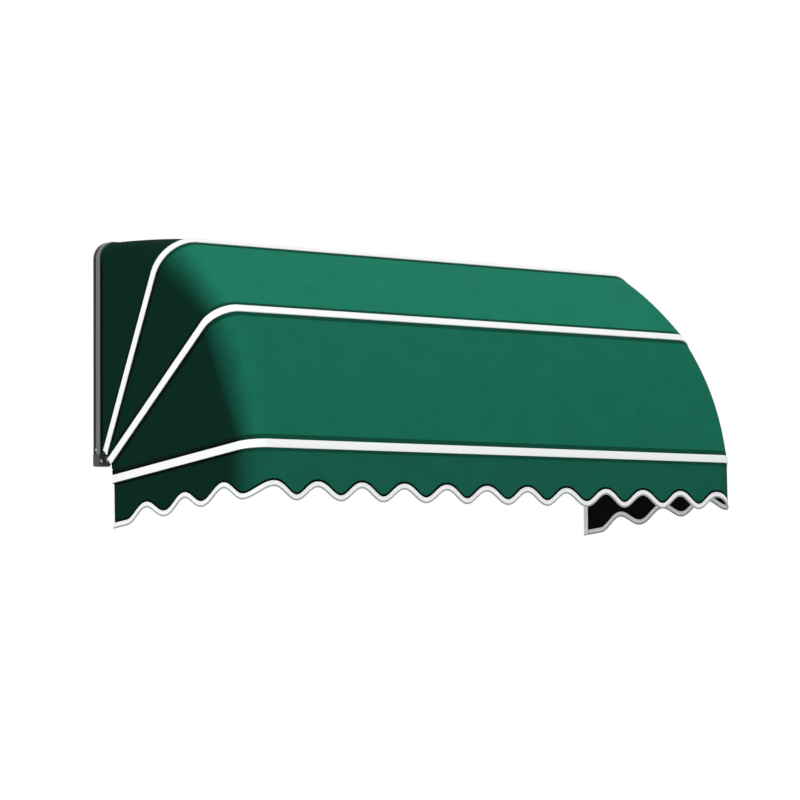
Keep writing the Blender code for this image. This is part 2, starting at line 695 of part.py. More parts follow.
def make_cord_eyes():
    angle = OPEN_ANGLES[2]
    for side_name, side in SIDES.items():
        x = side * EYE_X

        def on_rail(a, b, c):
            return place(x + c, FRAME_DEPTH / 2 + b, -FRAME_FACE / 2 - a)

        def on_front_hoop(a, b, c):
            return hoop_place(angle, BAR_REACH[2] - HOOP_DEPTH - a, x + c, HOOP_OFFSET[2] + b * 0.7)

        add_object(f"rail_cord_eye_{side_name}", eye_body(on_rail), "anthracite_powder_coat")
        eye = eye_body(on_front_hoop)
        add_object(f"front_cord_eye_{side_name}", eye, "white_powder_coat", pivot_point())


# Cloth


def cloth_ring(spine, thickness, beads):
    """Outline around a spine of points with normals; a bead at each end that has one."""
    half = thickness / 2
    outer = [point + normal * half for point, normal in spine]
    inner = [point - normal * half for point, normal in reversed(spine)]

    def bead(point, normal, away):
        points = []
        for step in range(5):
            turn = math.radians(120 - 60 * step)
            points.append(point + away * (BEAD * math.cos(turn) + BEAD * 0.6) + normal * (BEAD * math.sin(turn)))
        return points

    first_point, first_normal = spine[0]
    last_point, last_normal = spine[-1]
    ring = list(outer)
    if beads[1]:
        away = (last_point - spine[-2][0]).normalized()
        ring += bead(last_point, last_normal, away)
    ring += inner
    if beads[0]:
        away = (first_point - spine[1][0]).normalized()
        ring += bead(first_point, -first_normal, away)
    return ring


def swell_share(along):
    """Share of a panel's swell at a station: none on the side, all of it on the front."""
    share = min(1.0, abs(along) / 0.70)
    return share * share * (3.0 - 2.0 * share)


def panel_spine(top, bottom, swell, top_frame, bottom_frame):
    """Middle line of a panel from the groove above to the groove below, at one station."""
    angle_a, offset_a, face_a = top_frame
    angle_b, offset_b, face_b = bottom_frame
    reach_a, x_a, along_a, across_a = top
    reach_b, x_b, along_b, across_b = bottom
    pocket = POCKET_DEPTH - BEAD * 0.6

    def groove(angle, station, across):
        reach, x, along, side = station
        return hoop_place(angle, reach - GROOVE_IN * along, x - GROOVE_IN * side, across)

    start = groove(angle_a, top, offset_a + face_a - pocket)
    start_lip = groove(angle_a, top, offset_a + face_a + NECK_LENGTH)
    end = groove(angle_b, bottom, offset_b - face_b + pocket)
    end_lip = groove(angle_b, bottom, offset_b - face_b - NECK_LENGTH)
    middle_along, _ = hoop_axes((angle_a + angle_b) / 2)
    bulge = place(0.0, middle_along[0], middle_along[1]) * swell * swell_share((along_a + along_b) / 2)
    points = [start]
    for step in range(SWELL_ROWS + 1):
        share = step / SWELL_ROWS
        points.append(start_lip.lerp(end_lip, share) + bulge * (4 * share * (1 - share)))
    points.append(end)
    side_normal = Vector((across_a + across_b, 0.0, 0.0)) / 2
    spine = []
    for index, point in enumerate(points):
        before = points[max(index - 1, 0)]
        after = points[min(index + 1, len(points) - 1)]
        run = (after - before).normalized()
        outward = side_normal + place(0.0, *middle_along) * ((along_a + along_b) / 2)
        normal = (outward - run * outward.dot(run)).normalized()
        spine.append((point, normal))
    return spine


def make_panel(number):
    """Cloth from the frame or hoop above to the hoop below, round both corners, as one piece."""
    stops = (0.30, 0.65)
    if number == 0:
        top_stations = u_stations(FRAME_FOOT + GAP, FRAME_RISE, FRAME_CORNER, stops, 6)
        top_frame = (90.0, FRAME_DEPTH / 2 - PIVOT_OUT, FRAME_DEPTH / 2)
        name = "upper_canopy_panel"
    else:
        above = number - 1
        start = ARM_START[above] + GAP
        top_stations = u_stations(start, BAR_REACH[above], HOOP_CORNER[above], stops, 6)
        top_frame = (OPEN_ANGLES[above], HOOP_OFFSET[above], HOOP_FACE / 2)
        name = ("", "middle_canopy_panel", "lower_canopy_panel")[number]
    start = ARM_START[number] + GAP
    bottom_stations = u_stations(start, BAR_REACH[number], HOOP_CORNER[number], stops, 6)
    bottom_frame = (OPEN_ANGLES[number], HOOP_OFFSET[number], HOOP_FACE / 2)
    rings = []
    for top, bottom in zip(top_stations, bottom_stations):
        spine = panel_spine(top, bottom, PANEL_SWELL[number], top_frame, bottom_frame)
        rings.append(cloth_ring(spine, CLOTH, (True, True)))
    add_object(name, sweep(rings), "green_cloth", pivot_point())


def front_lobes():
    """Number of whole scallops on the straight part of the front."""
    return int((AWNING_WIDTH - 2 * HOOP_CORNER[2]) / FRONT_PITCH)


def valance_stations():
    """Stations along the front hoop with their distance from the middle of the front."""
    bar = BAR_REACH[2]
    radius = HOOP_CORNER[2]
    flat_half = HALF_WIDTH - radius
    arc = math.pi / 2 * radius
    half_length = flat_half + arc + bar - radius - ARM_START[2]
    front_half = front_lobes() * FRONT_PITCH / 2
    lobe_step = FRONT_PITCH / LOBE_STEPS
    side_step = SIDE_PITCH / (LOBE_STEPS + 2)
    rows = [lobe_step * step for step in range(int(front_half / lobe_step + 1.5))]
    rows += [front_half + side_step * step for step in range(1, int((half_length - front_half) / side_step) + 1)]
    corner_rows = [flat_half + arc * step / CORNER_STEPS for step in range(CORNER_STEPS + 1)]
    on_bar = [row for row in rows if row < flat_half - ROW_SPACING]
    on_arm = [row for row in rows if flat_half + arc + ROW_SPACING < row < half_length - ROW_SPACING]
    distances = on_bar + corner_rows + on_arm + [half_length]
    stations = []
    for distance in [-d for d in reversed(distances)] + distances[1:]:
        away = abs(distance)
        sign = math.copysign(1.0, distance)
        if away <= flat_half:
            station = (bar, away, 1.0, 0.0)
        elif away <= flat_half + arc:
            turn = (away - flat_half) / radius
            reach = bar - radius + radius * math.cos(turn)
            station = (reach, flat_half + radius * math.sin(turn), math.cos(turn), math.sin(turn))
        else:
            station = (bar - radius - (away - flat_half - arc), HALF_WIDTH, 0.0, 1.0)
        reach, x, along, across = station
        stations.append((away, (reach, sign * x, along, sign * across)))
    return stations


def hem_drop(away):
    """Drop of the hem's lowest line below the hoop at a distance from the middle of the front."""
    front_half = front_lobes() * FRONT_PITCH / 2
    lowest = VALANCE_DROP
    if away <= front_half:
        phase = away / FRONT_PITCH
        if front_lobes() % 2 == 0:
            phase += 0.5
    else:
        phase = min(0.5 + (away - front_half) / SIDE_PITCH, float(SIDE_LOBES))
        share = min(1.0, (away - front_half) / SIDE_PITCH)
        lowest += (SIDE_VALANCE_DROP - VALANCE_DROP) * share * share * (3.0 - 2.0 * share)
    return lowest - SCALLOP_DEPTH * (0.5 - 0.5 * math.cos(2 * math.pi * phase))


def valance_line(station, drop):
    """Point on the middle of the valance, straight down from the front hoop's lower groove."""
    reach, x, along, across = station
    angle, offset = OPEN_ANGLES[2], HOOP_OFFSET[2]
    lip = hoop_place(angle, reach - GROOVE_IN * along, x - GROOVE_IN * across, offset + HOOP_FACE / 2)
    return lip + Vector((0.0, 0.0, -drop))


def outward_of(station):
    reach, x, along, across = station
    return Vector((across, -along, 0.0)).normalized()


def make_valance():
    """Scalloped valance with its bound hem: cloth in the lower groove, tape folded round its edge."""
    cloth_rings = []
    tape_rings = []
    offset = HOOP_OFFSET[2]
    pocket = POCKET_DEPTH - BEAD * 0.6
    for away, station in valance_stations():
        reach, x, along, across = station
        inset = (reach - GROOVE_IN * along, x - GROOVE_IN * across)
        bead_centre = hoop_place(OPEN_ANGLES[2], *inset, offset + HOOP_FACE / 2 - pocket)
        outward = outward_of(station)
        drop = hem_drop(away) - TAPE - GAP
        spine = [(bead_centre, outward), (valance_line(station, NECK_LENGTH), outward)]
        spine.append((valance_line(station, drop * 0.5), outward))
        spine.append((valance_line(station, drop), outward))
        cloth_rings.append(cloth_ring(spine, CLOTH, (True, False)))
        slot = CLOTH / 2 + GAP
        shell = slot + TAPE
        ring = []
        for sideways, height in (
            (shell, BINDING), (shell, 0.0), (-shell, 0.0), (-shell, BINDING),
            (-slot, BINDING), (-slot, TAPE), (slot, TAPE), (slot, BINDING),
        ):
            ring.append(valance_line(station, hem_drop(away) - height) + outward * sideways)
        tape_rings.append(ring)
    add_object("valance", sweep(cloth_rings), "green_cloth", pivot_point())
    add_object("valance_binding", sweep(tape_rings), "white_tape", pivot_point())


def build_awning():
    clear_scene()
    make_wall_frame()
    for side_name in SIDES:
        make_casting(side_name)
    for number in range(3):
        make_hoop(number)
        for side_name in SIDES:
            make_leaf(number, side_name)
        make_panel(number)
    make_valance()
    for name, (corner, inward, along) in bracket_places().items():
        make_bracket(name, corner, inward, along)
    make_cord_eyes()


build_awning()
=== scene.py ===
"""Looks of the folding basket awning: cloth, extrusions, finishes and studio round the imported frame.

Metres, +Z up.  The wall is the plane y = 0, the canopy stands out towards -Y, and the origin is
the middle of the top rail's back face, as in the frame.
"""

import math
from collections import namedtuple

import bmesh
import bpy
import numpy as np
from bpy.props import FloatProperty, FloatVectorProperty, PointerProperty
from mathutils import Matrix, Vector


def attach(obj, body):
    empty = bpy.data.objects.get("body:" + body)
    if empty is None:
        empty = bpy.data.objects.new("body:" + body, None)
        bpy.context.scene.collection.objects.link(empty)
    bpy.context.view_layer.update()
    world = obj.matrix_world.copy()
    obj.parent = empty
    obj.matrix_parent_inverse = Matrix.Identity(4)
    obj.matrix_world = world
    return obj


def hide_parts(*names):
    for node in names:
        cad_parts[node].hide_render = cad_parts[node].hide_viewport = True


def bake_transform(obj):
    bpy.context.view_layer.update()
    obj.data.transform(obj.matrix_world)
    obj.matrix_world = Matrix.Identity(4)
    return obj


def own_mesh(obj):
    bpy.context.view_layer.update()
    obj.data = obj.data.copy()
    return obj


bl_info = {
    "name": "Folding Basket Awning",
    "version": (1, 0, 0),
    "blender": (4, 5, 0),
    "location": "3D View > Sidebar > Awning",
    "description": "Cloth, extrusions, finishes and studio for a folding basket awning",
    "category": "Object",
}

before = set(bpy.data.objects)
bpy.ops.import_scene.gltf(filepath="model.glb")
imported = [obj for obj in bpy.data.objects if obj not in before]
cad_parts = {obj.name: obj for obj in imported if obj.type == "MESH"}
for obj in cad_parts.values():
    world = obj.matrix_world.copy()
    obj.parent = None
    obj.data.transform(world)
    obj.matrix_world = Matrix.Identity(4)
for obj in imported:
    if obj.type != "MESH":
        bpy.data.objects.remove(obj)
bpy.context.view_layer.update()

# Sizes of the bars, as in the frame
HALF_WIDTH = 1.000
PIVOT_OUT = 0.070
PIVOT_Z = -0.7075
HOOP_FACE = 0.026
HOOP_DEPTH = 0.024
FRAME_DEPTH = 0.040
FRAME_FACE = 0.025
FRAME_EDGE = 0.003
BAR_WALL = 0.002
SEAL_SEAT = 0.0012
SEAL_WIDTH = 0.020

# The keder groove: its middle below the bar's outer side, its neck, its pocket, the metal behind it
# and the bead in it
GROOVE_IN = 0.005
GROOVE_NECK = 0.0030
GROOVE_POCKET = 0.0030
POCKET_DEPTH = 0.0046
GROOVE_WEB = 0.0015
BEAD = 0.0023
BEAD_SEAT = POCKET_DEPTH - BEAD * 0.6

# A member is the wall frame or a hoop: the angle of its plane, how far across from that plane the
# middle of its bar lies, half its face, where its arms start and its bar lies along the plane, the
# radius of its corners, and its share of the front hoop's turn
Member = namedtuple("Member", "angle offset half start bar corner share")
MEMBERS = (
    Member(90.0, FRAME_DEPTH / 2 - PIVOT_OUT, FRAME_DEPTH / 2, 0.018, 0.720, 0.060, 0.0),
    Member(62.0, -0.008, HOOP_FACE / 2, 0.022, 0.776, 0.125, 0.3152),
    Member(35.5, 0.024, HOOP_FACE / 2, 0.0205, 0.795, 0.090, 0.6364),
    Member(5.5, 0.072, HOOP_FACE / 2, 0.040, 0.850, 0.070, 1.0),
)
HOOP_NAMES = ("upper_hoop", "middle_hoop", "front_hoop")
PANEL_NAMES = ("upper_canopy_panel", "middle_canopy_panel", "lower_canopy_panel")
FULL_TURN = math.radians(82.5)

# A place along a member: reach along the arms, x, how far its outer side faces out and aside, and
# the run from the middle of the bar
Station = namedtuple("Station", "reach x along aside run")

# Where, along its run, a cloth goes over from the front's green to the gusset's darker green, which
# is painted shade: the upper, middle and lower panel and the valance, then the tapes on their edges
CLOTH_TURNS = ((0.80, 0.93), (0.90, 1.055), (0.945, 1.07), (0.90, 1.11))
WELT_TURN = (0.925, 1.085)

# The panels: their swell, how squarely a place has to face out for the whole of it, the gap at the
# ends of their arms, how far outside the bar's face the cloth leaves the groove, and how far of the
# way to the bead it goes in
PANEL_SWELL = (0.006, 0.012, 0.030)
SWELL_FULL = 0.70
END_GAP = 0.0003
LIP_OUT = 0.0015
TUCK = 0.55

# Unevenness of the taut cloth: height, turn per metre of run, part of the panel's own phase, turn
# across the panel and start.  FRONT_SLACK and ARM_SLACK are how far it goes, and GATHER_REACH how
# far out along the arms the small folds last.
SLACK_WAVES = ((0.5, 9.1, 1, 2.0, 0.0), (0.3, 17.3, -2, 4.0, 0.0), (0.2, 5.3, 0, 6.0, 1.0))
FRONT_SLACK = 0.0012
ARM_SLACK = 0.0016
GATHER_REACH = 0.22

# The welts' faces, from the middle of the cloth, and the stitches: half their thickness, their share
# of the pitch, how far in from a welt's fold they lie, and the bare ends of a row
WELT_INNER = 0.00045
WELT_OUTER = 0.00095
THREAD_RADIUS = 0.00045
STITCH_SHARE = 0.72
STITCH_IN = 0.70
STITCH_MARGIN = 0.005

# The valance and its scallops, where its cloth starts below the groove and ends above the hem, its
# ripples as height, length and start, and the height of the dark strip above its braid, which is painted shade
VALANCE_DROP = 0.155
SIDE_VALANCE_DROP = 0.142
SCALLOP_DEPTH = 0.042
FRONT_LOBES = 11
FRONT_PITCH = 0.1655
SIDE_PITCH = 0.223
SIDE_LOBES = 4
CLOTH_START = 0.0015
CLOTH_END = 0.0010
RIPPLES = ((0.60, 0.330, 0.5), (0.30, 0.213, 2.1), (0.25, 0.710, 4.0))
RIPPLE_GROWTH = 1.4
SHADE_STRIP_HEIGHT = 0.007

COLOUR = {"subtype": "COLOR", "size": 3, "min": 0.0, "max": 1.0}


def linear(hex_colour):
    """Linear colour from an sRGB hex value."""
    parts = [int(hex_colour[i:i + 2], 16) / 255 for i in (1, 3, 5)]
    return tuple(c / 12.92 if c <= 0.04045 else ((c + 0.055) / 1.055) ** 2.4 for c in parts)


class AwningClothSettings(bpy.types.PropertyGroup):
    upper_green: FloatVectorProperty(
        name="Upper green", description="Canopy cloth of the upper and the middle panel",
        default=linear("#1E785F"), **COLOUR)
    # Painted shade: a darker copy of the upper green, for the lower panel, which gets less light
    lower_shaded_green: FloatVectorProperty(
        name="Lower green", description="Canopy cloth of the lower panel",
        default=linear("#186853"), **COLOUR)
    # Painted shade: a darker copy again, for the upright valance, which gets less light
    valance_shaded_green: FloatVectorProperty(
        name="Valance green", description="Cloth of the valance",
        default=linear("#175B4A"), **COLOUR)
    # Painted shade: the green darkened for the shade on the gussets
    gusset_shade_green: FloatVectorProperty(
        name="Gusset green", description="Canopy cloth on the two gussets",
        default=linear("#05271E"), **COLOUR)
    # Painted shade: the tape's dark green stands for the shade line beside each hoop
    welt_shade_green: FloatVectorProperty(
        name="Welt green", description="Tape that holds the keder to the cloth's edges, on the front",
        default=linear("#0F4837"), **COLOUR)
    # Painted shade: near black, for the shade on the gussets' welts and the shade line above the braid
    side_welt_shade_green: FloatVectorProperty(
        name="Side welt green", description="The same tape on the gussets, and above the hem's braid",
        default=linear("#030C09"), **COLOUR)
    # The inner face's own coating, made black also as painted shade under the canopy
    coating_black_and_shade: FloatVectorProperty(
        name="Coating black", description="Coated inner face of the cloth",
        default=linear("#040507"), **COLOUR)
    tape_white: FloatVectorProperty(
        name="Tape white", description="Braid that binds the valance",
        default=linear("#F6F8F7"), **COLOUR)
    piping_grey: FloatVectorProperty(
        name="Piping grey", description="Cord sewn in below the valance's braid",
        default=linear("#A4A9A7"), **COLOUR)
    piping_radius: FloatProperty(
        name="Piping radius", description="Half the thickness of that cord",
        unit="LENGTH", default=0.0028, min=0.0005, max=0.004)
    cloth_thickness: FloatProperty(
        name="Cloth thickness", description="Woven cloth with its inner coating",
        unit="LENGTH", default=0.0008, min=0.0003, max=0.0015)
    thread_pitch: FloatProperty(
        name="Thread pitch", description="Spacing of the threads as they are drawn",
        unit="LENGTH", default=0.0016, min=0.0003, max=0.01)
    welt_width: FloatProperty(
        name="Welt width", description="Keder tape that shows beside a hoop",
        unit="LENGTH", default=0.0135, min=0.002, max=0.02)
    stitch_pitch: FloatProperty(
        name="Stitch pitch", description="From one stitch to the next",
        unit="LENGTH", default=0.006, min=0.002, max=0.02)
    binding_height: FloatProperty(
        name="Binding height", description="Braid on each face of the hem",
        unit="LENGTH", default=0.0125, min=0.005, max=0.03)
    ripple: FloatProperty(
        name="Valance ripple", description="How far the hem swings in and out of line",
        unit="LENGTH", default=0.005, min=0.0, max=0.015)


class AwningMetalSettings(bpy.types.PropertyGroup):
    hoop_white: FloatVectorProperty(
        name="Hoop white", description="Powder coat of the hoops", default=linear("#F4F6F5"), **COLOUR)
    frame_grey: FloatVectorProperty(
        name="Frame grey", description="Powder coat of the wall frame", default=linear("#5A605F"), **COLOUR)
    casting_grey: FloatVectorProperty(
        name="Casting grey", description="Coat of the cast hinge feet", default=linear("#2A2E30"), **COLOUR)
    edge_radius: FloatProperty(
        name="Edge radius", description="Rounding of the hoop extrusion's edges",
        unit="LENGTH", default=0.002, min=0.0005, max=0.003)


class AwningStudioSettings(bpy.types.PropertyGroup):
    camera_place: FloatVectorProperty(
        name="Camera place", description="Where the camera stands",
        subtype="XYZ", unit="LENGTH", size=3, default=(-6.1525, -8.6117, -1.2597))
    camera_yaw: FloatProperty(
        name="Camera yaw", description="Turn from straight at the wall towards the right",
        subtype="ANGLE", default=math.radians(36.648))
    camera_pitch: FloatProperty(
        name="Camera pitch", description="Tilt upwards",
        subtype="ANGLE", default=math.radians(4.245))
    camera_roll: FloatProperty(
        name="Camera roll", description="Lean of the camera",
        subtype="ANGLE", default=math.radians(-0.472))
    lens: FloatProperty(
        name="Lens", description="Focal length on a 36 mm sensor, in millimetres",
        default=137.43, min=20.0, max=300.0)
    floor_drop: FloatProperty(
        name="Floor drop", description="Top rail down to the pavement below the window",
        unit="LENGTH", default=2.30, min=1.0, max=4.0)
    sky_level: FloatProperty(
        name="Sky level", description="Even light from all round",
        default=0.62, min=0.0, max=2.0)
    key_level: FloatProperty(
        name="Key level", description="Share of full light that the key lamp gives a face towards it",
        default=0.27, min=0.0, max=2.0)
    fill_level: FloatProperty(
        name="Fill level", description="The same for the lamp on the left",
        default=0.28, min=0.0, max=2.0)
    front_level: FloatProperty(
        name="Front level", description="The same for the lamp in front",
        default=0.12, min=0.0, max=2.0)


# Nodes and materials


def fill_inputs(node, inputs):
    """Link an input that is given as a socket, and set any other value on the input itself."""
    for name, value in inputs.items():
        if isinstance(value, bpy.types.NodeSocket):
            node.id_data.links.new(value, node.inputs[name])
        else:
            node.inputs[name].default_value = value


def add_node(tree, kind, inputs=(), **settings):
    """Add a node with its settings and its inputs."""
    node = tree.nodes.new(kind)
    for name, value in settings.items():
        setattr(node, name, value)
    fill_inputs(node, dict(inputs))
    return node


def new_finish(name, roughness, metallic=0.0, specular=0.5, woven=False):
    """Material, its tree, its shader, and the place that patterns are drawn by: on the cloth or the object."""
    material = bpy.data.materials.new(name)
    material.use_nodes = True
    tree = material.node_tree
    shader = tree.nodes["Principled BSDF"]
    fill_inputs(shader, {"Roughness": roughness, "Metallic": metallic, "Specular IOR Level": specular})
    if woven:
        place = add_node(tree, "ShaderNodeUVMap", uv_map="cloth").outputs["UV"]
    else:
        place = add_node(tree, "ShaderNodeTexCoord").outputs["Object"]
    return material, tree, shader, place


def weave_normal(tree, uv, pitch, strength):
    """Plain weave: threads pass over and under in turn, so the height is one wave times the other."""
    waves = []
    for direction in ("X", "Y"):
        wave = add_node(
            tree, "ShaderNodeTexWave", {"Vector": uv, "Scale": math.pi / (20 * pitch)}, bands_direction=direction)
        waves.append(add_node(
            tree, "ShaderNodeMath", {0: wave.outputs["Fac"], 1: 2.0, 2: -1.0},
            operation="MULTIPLY_ADD").outputs[0])
    height = add_node(tree, "ShaderNodeMath", {0: waves[0], 1: waves[1]}, operation="MULTIPLY").outputs[0]
    return add_node(
        tree, "ShaderNodeBump", {"Height": height, "Strength": strength, "Distance": pitch * 0.15}).outputs["Normal"]


def shade_varied(tree, colour, amount, vector, scale, detail=3.0):
    """Lighten and darken a colour by a soft noise."""
    noise = add_node(
        tree, "ShaderNodeTexNoise", {"Vector": vector, "Scale": scale, "Detail": detail, "Roughness": 0.55})
    value = add_node(
        tree, "ShaderNodeMapRange",
        {"Value": noise.outputs["Fac"], "From Min": 0.3, "From Max": 0.7,
         "To Min": 1.0 - amount, "To Max": 1.0 + amount})
    return add_node(
        tree, "ShaderNodeHueSaturation", {"Color": colour, "Value": value.outputs["Result"]}).outputs["Color"]


def corner_shade_blend(tree, uv, front, side, turn):
    """Colour that goes over from the front's to the side's between two places along the cloth's run; a darker side
    colour is painted shade round the corner.
    """
    run = add_node(tree, "ShaderNodeSeparateXYZ", {"Vector": uv}).outputs["X"]
    away = add_node(tree, "ShaderNodeMath", {0: run}, operation="ABSOLUTE").outputs[0]
    share = add_node(
        tree, "ShaderNodeMapRange",
        {"Value": away, "From Min": turn[0], "From Max": turn[1]}, interpolation_type="SMOOTHSTEP")
    return add_node(
        tree, "ShaderNodeMix",
        {"Factor": share.outputs["Result"], "A": (*front, 1.0), "B": (*side, 1.0)},
        data_type="RGBA").outputs["Result"]


def woven_acrylic(name, front, turn, settings):
    """Solution-dyed acrylic canvas, woven: matt, even green with faint slubs and a fine grain.

    The gussets are a darker green, painted shade, that comes in softly round the corners.  Real
    threads lie 0.4 mm apart, too fine to show from the camera, so they are drawn wider.
    """
    material, tree, shader, uv = new_finish(name, 0.88, specular=0.03, woven=True)
    # Painted shade: the darker gusset green comes in round the corners
    green = corner_shade_blend(tree, uv, front, settings.gusset_shade_green, turn)
    colour = shade_varied(tree, green, 0.05, uv, 9.0)
    # Slubs: threads a little lighter or darker for some 12 cm, about 4 mm apart, both ways
    for scale in ((8.0, 260.0, 1.0), (260.0, 8.0, 1.0)):
        slubs = add_node(tree, "ShaderNodeMapping", {"Vector": uv, "Scale": scale}).outputs["Vector"]
        colour = shade_varied(tree, colour, 0.04, slubs, 1.0, 2.0)
    fill_inputs(shader, {"Base Color": colour, "Normal": weave_normal(tree, uv, settings.thread_pitch, 0.35)})
    return material


def coated_back(settings):
    """Rubbery black coating, knife-spread on the cloth's inner face: dull, with the weave just showing; its black is
    also painted shade under the canopy.
    """
    material, tree, shader, uv = new_finish("spread_coating_black_and_shade", 0.62, specular=0.02, woven=True)
    fill_inputs(shader, {
        "Base Color": shade_varied(tree, (*settings.coating_black_and_shade, 1.0), 0.15, uv, 14.0),
        "Normal": weave_normal(tree, uv, settings.thread_pitch, 0.15)})
    return material


def woven_tape(name, front, side, rib_pitch, variation, specular):
    """Polyester braid, woven with ribs across its length: matt, with fine cross ribs."""
    material, tree, shader, uv = new_finish(name, 0.80, specular=specular, woven=True)
    # Painted shade where the side's colour is darker than the front's, round the corners
    base = corner_shade_blend(tree, uv, front, side, WELT_TURN)
    ribs = add_node(tree, "ShaderNodeTexWave", {"Vector": uv, "Scale": 2 * math.pi / (20 * rib_pitch)})
    bump = add_node(
        tree, "ShaderNodeBump", {"Height": ribs.outputs["Fac"], "Strength": 0.4, "Distance": rib_pitch * 0.15})
    fill_inputs(shader, {
        "Base Color": shade_varied(tree, base, variation, uv, 40.0), "Normal": bump.outputs["Normal"]})
    return material


def sewing_thread(name, hex_colour):
    """Bonded polyester thread, twisted: a slight gloss on each stitch."""
    material, tree, shader, place = new_finish(name, 0.45, specular=0.4)
    fill_inputs(shader, {"Base Color": shade_varied(tree, (*linear(hex_colour), 1.0), 0.12, place, 300.0)})
    return material


def powder_coat(name, colour, roughness):
    """Polyester powder, sprayed and baked: satin, with the orange peel of baked powder."""
    material, tree, shader, place = new_finish(name, roughness)
    # Orange peel is about 2.5 mm from crest to crest
    peel = add_node(
        tree, "ShaderNodeTexNoise", {"Vector": place, "Scale": 1 / 0.0025, "Detail": 1.0}).outputs["Fac"]
    bump = add_node(tree, "ShaderNodeBump", {"Height": peel, "Strength": 0.12, "Distance": 0.0004})
    gloss = add_node(
        tree, "ShaderNodeMapRange", {"Value": peel, "To Min": roughness - 0.05, "To Max": roughness + 0.07})
    fill_inputs(shader, {
        "Base Color": shade_varied(tree, (*colour, 1.0), 0.015, place, 7.0),
        "Roughness": gloss.outputs["Result"], "Normal": bump.outputs["Normal"]})
    return material


def extruded_rubber():
    """EPDM rubber, extruded: a soft black line along the wall, with a faint bloom; its wide black band also stands
    as painted shade on the frame's edge beside the wall.
    """
    material, tree, shader, place = new_finish("extruded_rubber_black", 0.60, specular=0.3)
    fill_inputs(shader, {"Base Color": shade_varied(tree, (*linear("#121313"), 1.0), 0.2, place, 30.0)})
    return material


def cast_coat(colour):
    """Aluminium, gravity cast and coated: a dull skin with the sand grain of the mould under it."""
    material, tree, shader, place = new_finish("cast_aluminium_coated", 0.55)
    # Sand grain of 0.9 mm
    grain = add_node(
        tree, "ShaderNodeTexNoise", {"Vector": place, "Scale": 1 / 0.0009, "Detail": 3.0, "Roughness": 0.6})
    bump = add_node(
        tree, "ShaderNodeBump", {"Height": grain.outputs["Fac"], "Strength": 0.4, "Distance": 0.0003})
    fill_inputs(shader, {
        "Base Color": shade_varied(tree, (*colour, 1.0), 0.08, place, 60.0), "Normal": bump.outputs["Normal"]})
    return material


def plated_steel():
    """Steel, pressed and bright zinc plated: soft mirror with faint warm and cool patches."""
    material, tree, shader, place = new_finish("bright_zinc_plated_steel", 0.34, metallic=1.0)
    patches = add_node(
        tree, "ShaderNodeTexNoise", {"Vector": place, "Scale": 90.0, "Detail": 3.0}).outputs["Fac"]
    colour = add_node(
        tree, "ShaderNodeMix",
        {"Factor": patches, "A": (*linear("#BFC3C8"), 1.0), "B": (*linear("#B9B4A6"), 1.0)}, data_type="RGBA")
    gloss = add_node(tree, "ShaderNodeMapRange", {"Value": patches, "To Min": 0.28, "To Max": 0.44})
    fill_inputs(shader, {"Base Color": colour.outputs["Result"], "Roughness": gloss.outputs["Result"]})
    return material


def turned_stainless():
    """Stainless steel, turned or cold headed: bright, with the fine rings that the tool leaves."""
    material, tree, shader, place = new_finish("turned_stainless_steel", 0.26, metallic=1.0)
    # Tool rings 0.4 mm apart
    rings = add_node(
        tree, "ShaderNodeTexWave",
        {"Vector": place, "Scale": 2 * math.pi / (20 * 0.0004), "Distortion": 1.5, "Detail": 2.0},
        bands_direction="DIAGONAL").outputs["Fac"]
    gloss = add_node(tree, "ShaderNodeMapRange", {"Value": rings, "To Min": 0.20, "To Max": 0.36})
    bump = add_node(tree, "ShaderNodeBump", {"Height": rings, "Strength": 0.15, "Distance": 0.0001})
    fill_inputs(shader, {
        "Base Color": (*linear("#C9C7C3"), 1.0),
        "Roughness": gloss.outputs["Result"], "Normal": bump.outputs["Normal"]})
    return material


# Lines along the frame and the hoops


def hoop_point(who, reach, x, across):
    """Point from a member's own coordinates: reach along its arms, x, and distance across its plane."""
    turn = math.radians(who.angle)
    out = PIVOT_OUT + reach * math.cos(turn) + across * math.sin(turn)
    up = PIVOT_Z + reach * math.sin(turn) - across * math.cos(turn)
    return np.array((x, -out, up))


def hoop_stations(who, arm_steps, corner_steps, bar_steps, gap=0.0):
    """Stations on a member's outer line, from the left arm's end to the right one's."""
    arm = who.bar - who.corner - (who.start + gap)
    arc = math.pi / 2 * who.corner
    flat = HALF_WIDTH - who.corner
    half = []
    for step in range(bar_steps // 2):
        run = flat * 2 * step / bar_steps
        half.append(Station(who.bar, run, 1.0, 0.0, run))
    for step in range(corner_steps):
        turn = math.pi / 2 * step / corner_steps
        half.append(Station(
            who.bar - who.corner + who.corner * math.cos(turn), flat + who.corner * math.sin(turn),
            math.cos(turn), math.sin(turn), flat + arc * step / corner_steps))
    for step in range(arm_steps + 1):
        gone = arm * step / arm_steps
        half.append(Station(who.bar - who.corner - gone, HALF_WIDTH, 0.0, 1.0, flat + arc + gone))
    return [Station(s.reach, -s.x, s.along, -s.aside, -s.run) for s in reversed(half[1:])] + half


def hoop_line(who, stations, inset, across):
    """Line along a member, at an inset from its outer line and a distance across its plane."""
    return np.array([
        hoop_point(who, s.reach - inset * s.along, s.x - inset * s.aside, across) for s in stations])


# Objects and meshes


def new_object(name, data):
    item = bpy.data.objects.new(name, data)
    bpy.context.scene.collection.objects.link(item)
    return item


def unit(vectors):
    return vectors / np.linalg.norm(vectors, axis=-1, keepdims=True)


def unit_normals(along, across, out):
    """Unit normals of a surface, on the side that out points to."""
    normals = unit(np.cross(along, across))
    return normals * np.sign(np.sum(normals * out, axis=-1, keepdims=True))


def smooth(share):
    return share * share * (3 - 2 * share)


